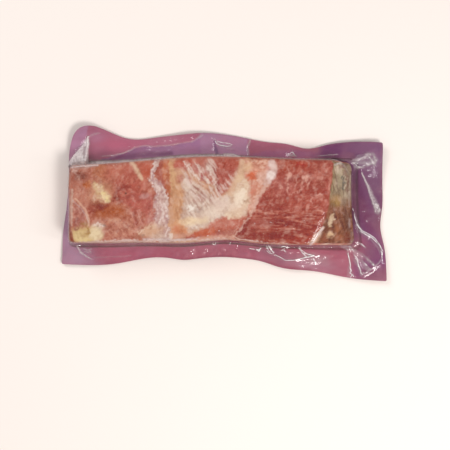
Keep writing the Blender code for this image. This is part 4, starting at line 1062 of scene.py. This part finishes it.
def rim_paint(a, b, share):
    s = Sheet(a, b, 2.2, 0.5, 100)
    soft = Sheet(a, b, 0.8, 0.3, 120)
    n = len(a)
    p = Paint(n, (166, 96, 116))
    n1, n2 = fbm(a / 22.0, b / 14.0, 101, 3), fbm(a / 6.0, b / 5.0, 102, 3)
    # left and back left: pale lilac
    p.lay(s.blob(-4, 120, 34, 62, 8, 0.55), (160, 124, 146))
    p.lay(s.blob(6, 146, 34, 20, 8, 0.5), (172, 130, 152), 0.9)
    p.lay(patch(s, [(-20, -20), (30, -20), (27, 14), (8, 42), (-20, 60)], 2.5), (176, 128, 156))
    p.lay(s.blob(12, 22, 5, 13, 14, 0.8), (186, 132, 160), 0.7)
    # back rim: rose above the fold, violet under it
    p.lay(patch(s, [(28, -20), (190, -20), (150, 12), (131, 18), (94, 22.6), (74, 23.5), (56, 32), (30, 40), (27, 16)], 1.0), (168, 100, 122))
    p.lay(s.blob(58, 20, 26, 7, 6, 0.8), (172, 94, 116), 0.8)
    p.lay(s.blob(36, 14, 8, 5, 0, 0.8), (176, 118, 142), 0.7)
    under = patch(soft, [(40, 36), (54, 31.6), (64, 28.8), (74, 24), (83, 22), (94, 23), (112, 21.4), (131, 18), (141, 11), (160, 6), (160, 60), (40, 60)], 0.8)
    p.lay(under, (148, 100, 134))
    p.lay(under * s.blob(126, 26, 36, 12, -4, 0.6), (158, 112, 146), 0.9)
    # painted shade: darker violet line on the rim just behind the slab
    p.lay(soft.stroke([(40, 37.5, 1.2), (62, 33.6, 2.2), (84, 30, 2.6), (110, 30, 2.0)], 0.7), (122, 74, 108), 0.85)
    p.lay(patch(s, [(140, -10), (189, -10), (187, 24), (187, 50), (140, 50), (139, 14)], 1.2), (164, 122, 150))
    p.lay(s.blob(168, 17, 16, 5, 5, 0.8), (170, 118, 142), 0.7)
    p.lay(soft.stroke([(153, 17, 0.8), (154.4, 26, 1.8), (156, 31, 1.4)], 0.7), (118, 84, 118), 0.8)
    p.lay(patch(s, [(188, -10), (262, -10), (262, 60), (187, 60)], 1.2), (160, 92, 112))
    p.lay(s.stroke([(190, 33, 3.0), (226, 30, 3.6), (262, 31, 3.0)], 0.7), (150, 92, 124), 0.8)
    # right rim
    right = patch(s, [(252, -10), (400, -10), (400, 170), (290, 170), (290, 96), (292, 60), (262, 40)], 4)
    p.lay(right, (130, 66, 114))
    p.lay(s.blob(310, 26, 24, 14, 0, 0.7), (142, 92, 136), 0.9)
    p.lay(s.stroke([(262, 34, 3.0), (290, 33, 3.6)], 0.7), (134, 76, 112), 0.8)
    p.lay(s.blob(296, 76, 7.5, 26, -6, 0.6), (116, 46, 96), 0.95)
    p.lay(s.blob(304, 92, 6, 18, -22, 0.7), (134, 66, 104), 0.85)
    p.lay(s.blob(314, 60, 9, 22, -10, 0.8), (138, 88, 122), 0.7)
    p.lay(s.blob(302, 126, 15, 12, 20, 0.7), (140, 88, 112), 0.8)
    p.lay(s.blob(320, 104, 7, 16, -20, 0.8), (152, 96, 118), 0.8)
    p.lay(s.blob(318, 152, 22, 9, 0, 0.7), (150, 92, 112), 0.9)
    # front rim
    p.lay(patch(s, [(38, 118), (300, 118), (282, 170), (48, 170)], 13), (178, 94, 114), 0.95)
    p.lay(s.blob(150, 128, 40, 6, -2, 0.8), (168, 90, 106), 0.7)
    p.lay(s.blob(238, 138, 36, 9, 8, 0.7), (168, 112, 128), 0.9)
    p.lay(s.blob(252, 134, 13, 5, 10, 0.7), (172, 126, 134), 0.7)
    p.lay(s.blob(206, 126, 12, 5, 6, 0.8), (150, 92, 112), 0.6)
    # tone along the cut edge, and painted shade next to the slab's front
    p.lay(step(0.80, 0.98, share) * (a > 120) * (a < 250) * (b > 100), (146, 66, 84), 0.75)
    p.lay(step(0.86, 1.0, share), (176, 110, 128), 0.28)
    # painted shade: darker rim along the slab's front foot
    p.lay((1 - step(0.0, 0.16, share)) * (b > 60), (146, 80, 98), 0.35)
    p.lay(step(0.1, 0.6, n1), (182, 124, 146), 0.22)
    p.lay(step(0.1, 0.6, -n1), (138, 78, 102), 0.25)
    p.lay(step(0.1, 0.6, n2), (178, 122, 140), 0.16)
    # tone of the film round the pack, with painted light: brighter on the back rim to offset the shade the slab casts
    # there, also deeper at the right and paler along the far left
    gain = 1 + 0.34 * step(8, 28, b) * (b < 62) * step(30, 60, a) * (1 - step(240, 270, a))
    gain = gain * (1 - 0.22 * step(250, 275, a) * (1 - step(90, 125, b)) - 0.06 * step(250, 275, a))
    gain = gain * (1 + 0.28 * (1 - step(2, 10, a)) * step(40, 60, b) * (1 - step(112, 128, b)))
    return np.maximum(p.rgb - 0.020, p.rgb * 0.35) * gain[:, None]


def build_back_film():
    nx, ny = 220, 62
    inner = inset(TOP_EDGE, TOP_ROUND, 0.0)
    loop = Loop(nx, ny, inner)
    under = inset(FOOT, 6.0, 3.0)
    u2, f2, c2 = loop.on(under), loop.on(FOOT), loop.on(CUT_EDGE)
    m = len(f2)
    steps = 40
    rows, shares = [np.column_stack([u2, np.full(m, 0.7)]), np.column_stack([mix(u2, f2, 0.5), np.full(m, 1.0)])], [np.zeros(m)] * 2
    for k in range(steps + 1):
        s = np.full(m, k / steps)
        p = mix(f2, c2, s[:, None])
        z = back_film_z(*p.T, s)
        rows.append(np.column_stack([p, mix(1.6, z, ease(s / 0.12))]))
        shares.append(s)
    rows.append(rows[-1] - np.array([0, 0, 0.55]))
    shares.append(np.ones(m))
    for k in range(1, 15):
        s = np.full(m, 1 - k / 14)
        p = mix(f2, c2, s[:, None])
        z = back_film_z(*p.T, s) - 0.55
        rows.append(np.column_stack([p, np.maximum(mix(0.9, z, ease(s / 0.2)), 0.1)]))
        shares.append(s)
    rows.append(np.column_stack([mix(u2, f2, 0.4), np.full(m, 0.2)]))
    rows.append(np.column_stack([u2, np.full(m, 0.0)]))
    shares += [np.zeros(m)] * 2
    verts, share = np.concatenate(rows), np.concatenate(shares)
    rings = [r * m + np.arange(m) for r in range(len(rows))]
    a, b = rim_squares(*verts[:, :2].T)
    rgb = rim_paint(a, b, share)
    return make_mesh("film_back", placed(verts), band_faces(rings), [("tint", rgb)], [rings[0], rings[-1][::-1]])


# ---- materials -------------------------------------------------------------
def nodes_of(name):
    material = bpy.data.materials.new(name)
    material.use_nodes = True
    tree = material.node_tree
    tree.nodes.clear()
    return material, tree


def add(tree, kind, **settings):
    node = tree.nodes.new(kind)
    for key, value in settings.items():
        setattr(node, key, value)
    return node


def texture(tree, kind, scale, detail=3.0, rough=0.55, stretch=(1, 1, 1), **inputs):
    """A texture laid in object space, stretch in relative frequencies."""
    coord = add(tree, "ShaderNodeTexCoord")
    mapping = add(tree, "ShaderNodeMapping")
    mapping.inputs["Scale"].default_value = stretch
    tree.links.new(coord.outputs["Object"], mapping.inputs["Vector"])
    tex = add(tree, kind)
    tree.links.new(mapping.outputs["Vector"], tex.inputs["Vector"])
    tex.inputs["Scale"].default_value = scale
    if "Detail" in tex.inputs:
        tex.inputs["Detail"].default_value = detail
    if "Roughness" in tex.inputs:
        tex.inputs["Roughness"].default_value = rough
    for key, value in inputs.items():
        tex.inputs[key].default_value = value
    return tex


def ramp(tree, source, lo, hi, out_lo=0.0, out_hi=1.0):
    node = add(tree, "ShaderNodeMapRange", interpolation_type="SMOOTHSTEP")
    node.inputs["From Min"].default_value = lo
    node.inputs["From Max"].default_value = hi
    node.inputs["To Min"].default_value = out_lo
    node.inputs["To Max"].default_value = out_hi
    tree.links.new(source, node.inputs["Value"])
    return node.outputs["Result"]


def blend(tree, mode, fac, a, b):
    node = add(tree, "ShaderNodeMix", data_type="RGBA", blend_type=mode)
    for socket, value in ((node.inputs[0], fac), (node.inputs[6], a), (node.inputs[7], b)):
        if isinstance(value, (int, float)):
            socket.default_value = value
        elif isinstance(value, tuple):
            socket.default_value = (*value, 1.0)
        else:
            tree.links.new(value, socket)
    return node.outputs[2]


def meat_material():
    material, t = nodes_of("bacon_meat")
    tint = add(t, "ShaderNodeAttribute", attribute_name="tint")
    fatty = add(t, "ShaderNodeAttribute", attribute_name="fatty")
    mottle = texture(t, "ShaderNodeTexNoise", 420.0, 4.0, 0.6)
    grain = texture(t, "ShaderNodeTexNoise", 900.0, 3.0, 0.6, (0.7, 1.0, 1.0))
    speck = texture(t, "ShaderNodeTexNoise", 1500.0, 2.0, 0.5)
    colour = blend(t, "MULTIPLY", ramp(t, mottle.outputs["Fac"], 0.42, 0.68, 0.0, 0.16), tint.outputs["Color"], (0.72, 0.56, 0.50))
    colour = blend(t, "SCREEN", ramp(t, grain.outputs["Fac"], 0.52, 0.72, 0.0, 0.12), colour, (0.75, 0.55, 0.48))
    colour = blend(t, "MULTIPLY", ramp(t, speck.outputs["Fac"], 0.52, 0.70, 0.0, 0.12), colour, (0.70, 0.52, 0.46))
    shader = add(t, "ShaderNodeBsdfPrincipled")
    t.links.new(colour, shader.inputs["Base Color"])
    t.links.new(ramp(t, grain.outputs["Fac"], 0.3, 0.7, 0.50, 0.66), shader.inputs["Roughness"])
    shader.inputs["Specular IOR Level"].default_value = 0.25
    bump = add(t, "ShaderNodeBump")
    bump.inputs["Strength"].default_value = 0.55
    bump.inputs["Distance"].default_value = 0.0007
    height = add(t, "ShaderNodeMath", operation="ADD")
    t.links.new(mottle.outputs["Fac"], height.inputs[0])
    t.links.new(grain.outputs["Fac"], height.inputs[1])
    t.links.new(height.outputs[0], bump.inputs["Height"])
    t.links.new(bump.outputs["Normal"], shader.inputs["Normal"])
    out = add(t, "ShaderNodeOutputMaterial")
    t.links.new(shader.outputs["BSDF"], out.inputs["Surface"])
    return material


def clear_film_material():
    material, t = nodes_of("film_clear")
    haze_and_painted_glints = add(t, "ShaderNodeAttribute", attribute_name="haze_and_painted_glints")
    parts = add(t, "ShaderNodeSeparateColor")
    t.links.new(haze_and_painted_glints.outputs["Color"], parts.inputs[0])
    see = add(t, "ShaderNodeBsdfTransparent")
    see.inputs["Color"].default_value = (0.985, 0.975, 0.975, 1.0)
    # diffuse white of the milky film, and of the painted highlight ribbons, which take the brighter white
    milk_and_painted_glint = add(t, "ShaderNodeBsdfDiffuse")
    t.links.new(blend(t, "MIX", parts.outputs[1], tuple(srgb(222, 210, 210)), tuple(srgb(252, 250, 250))), milk_and_painted_glint.inputs["Color"])
    wrinkle = texture(t, "ShaderNodeTexNoise", 190.0, 3.0, 0.6)
    fine = texture(t, "ShaderNodeTexNoise", 700.0, 2.0, 0.5)
    share = add(t, "ShaderNodeMath", operation="MULTIPLY")
    t.links.new(parts.outputs[0], share.inputs[0])
    t.links.new(ramp(t, fine.outputs["Fac"], 0.3, 0.7, 0.72, 1.12), share.inputs[1])
    body = add(t, "ShaderNodeMixShader")
    t.links.new(share.outputs[0], body.inputs[0])
    t.links.new(see.outputs[0], body.inputs[1])
    t.links.new(milk_and_painted_glint.outputs[0], body.inputs[2])
    bump = add(t, "ShaderNodeBump")
    bump.inputs["Strength"].default_value = 0.35
    bump.inputs["Distance"].default_value = 0.0009
    t.links.new(wrinkle.outputs["Fac"], bump.inputs["Height"])
    gloss = add(t, "ShaderNodeBsdfGlossy")
    gloss.inputs["Roughness"].default_value = 0.10
    gloss.inputs["Color"].default_value = (1, 1, 1, 1)
    t.links.new(bump.outputs["Normal"], gloss.inputs["Normal"])
    fresnel = add(t, "ShaderNodeFresnel")
    fresnel.inputs["IOR"].default_value = 1.5
    t.links.new(bump.outputs["Normal"], fresnel.inputs["Normal"])
    least = add(t, "ShaderNodeMath", operation="MINIMUM")      # taut film never mirrors as much as a thick pane
    t.links.new(fresnel.outputs[0], least.inputs[0])
    least.inputs[1].default_value = 0.085
    film = add(t, "ShaderNodeMixShader")
    t.links.new(least.outputs[0], film.inputs[0])
    t.links.new(body.outputs[0], film.inputs[1])
    t.links.new(gloss.outputs[0], film.inputs[2])
    out = add(t, "ShaderNodeOutputMaterial")
    t.links.new(film.outputs[0], out.inputs["Surface"])
    return material


def tinted_film_material():
    material, t = nodes_of("film_tinted")
    tint = add(t, "ShaderNodeAttribute", attribute_name="tint")
    cloud = texture(t, "ShaderNodeTexNoise", 70.0, 3.0, 0.5)
    shader = add(t, "ShaderNodeBsdfPrincipled")
    colour = blend(t, "MULTIPLY", ramp(t, cloud.outputs["Fac"], 0.40, 0.65, 0.0, 0.16), tint.outputs["Color"], (0.80, 0.68, 0.78))
    t.links.new(colour, shader.inputs["Base Color"])
    shader.inputs["Roughness"].default_value = 0.42
    shader.inputs["Specular IOR Level"].default_value = 0.35
    bump = add(t, "ShaderNodeBump")
    bump.inputs["Strength"].default_value = 0.25
    bump.inputs["Distance"].default_value = 0.0008
    t.links.new(cloud.outputs["Fac"], bump.inputs["Height"])
    t.links.new(bump.outputs["Normal"], shader.inputs["Normal"])
    out = add(t, "ShaderNodeOutputMaterial")
    t.links.new(shader.outputs["BSDF"], out.inputs["Surface"])
    return material


# ---- stage -----------------------------------------------------------------
def lamp(name, where, aim, size, watts, tone=(1, 1, 1)):
    data = bpy.data.lights.new(name, "AREA")
    data.shape = "RECTANGLE"
    data.size, data.size_y = size
    data.energy = watts
    data.color = tone
    ob = bpy.data.objects.new(name, data)
    ob.location = where
    ob.rotation_euler = (Vector(aim) - Vector(where)).to_track_quat("-Z", "Y").to_euler()
    bpy.context.scene.collection.objects.link(ob)


def stage():
    mesh = bpy.data.meshes.new("floor")
    mesh.from_pydata([(-3, -3, 0), (3, -3, 0), (3, 3, 0), (-3, 3, 0)], [], [(0, 1, 2, 3)])
    floor = bpy.data.objects.new("floor", mesh)
    bpy.context.scene.collection.objects.link(floor)
    floor.location.z = CAD_LOW[2] - 0.0002
    material, t = nodes_of("floor")
    shader = add(t, "ShaderNodeBsdfDiffuse")
    shader.inputs["Color"].default_value = (*srgb(246, 236, 230), 1.0)
    out = add(t, "ShaderNodeOutputMaterial")
    t.links.new(shader.outputs[0], out.inputs["Surface"])
    mesh.materials.append(material)
    world = bpy.data.worlds.new("soft")
    world.use_nodes = True
    world.node_tree.nodes["Background"].inputs["Color"].default_value = (1.0, 0.985, 0.97, 1.0)
    world.node_tree.nodes["Background"].inputs["Strength"].default_value = 0.46
    bpy.context.scene.world = world
    lamp("key", (0.50, -0.62, 1.10), (0, 0, 0), (0.36, 0.36), 9.6, (1.0, 0.985, 0.96))
    lamp("fill", (-0.75, 0.65, 0.85), (-0.05, 0, 0), (0.6, 0.6), 5.0)
    lamp("strip", (0.75, -0.25, 0.80), (0.08, 0, 0), (0.10, 0.5), 1.6)
    scene = bpy.context.scene
    scene.view_settings.view_transform = "Standard"
    data = bpy.data.cameras.new("camera")
    data.lens, data.sensor_width = 84.2, 36.0
    data.shift_x, data.shift_y = 0.0022, -0.0478
    data.clip_start = 0.05
    cam = bpy.data.objects.new("camera", data)
    lift = math.radians(86.0)
    cam.location = (0, -math.cos(lift), math.sin(lift))
    cam.rotation_euler = (-Vector(cam.location)).to_track_quat("-Z", "Y").to_euler()
    scene.collection.objects.link(cam)
    scene.camera = cam


meat, front, back = build_meat(), build_front_film(), build_back_film()
for piece, material in ((meat, meat_material()), (front, clear_film_material()), (back, tinted_film_material())):
    piece.data.materials.append(material)
    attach(piece, "root")
    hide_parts("sealed_pack")
stage()
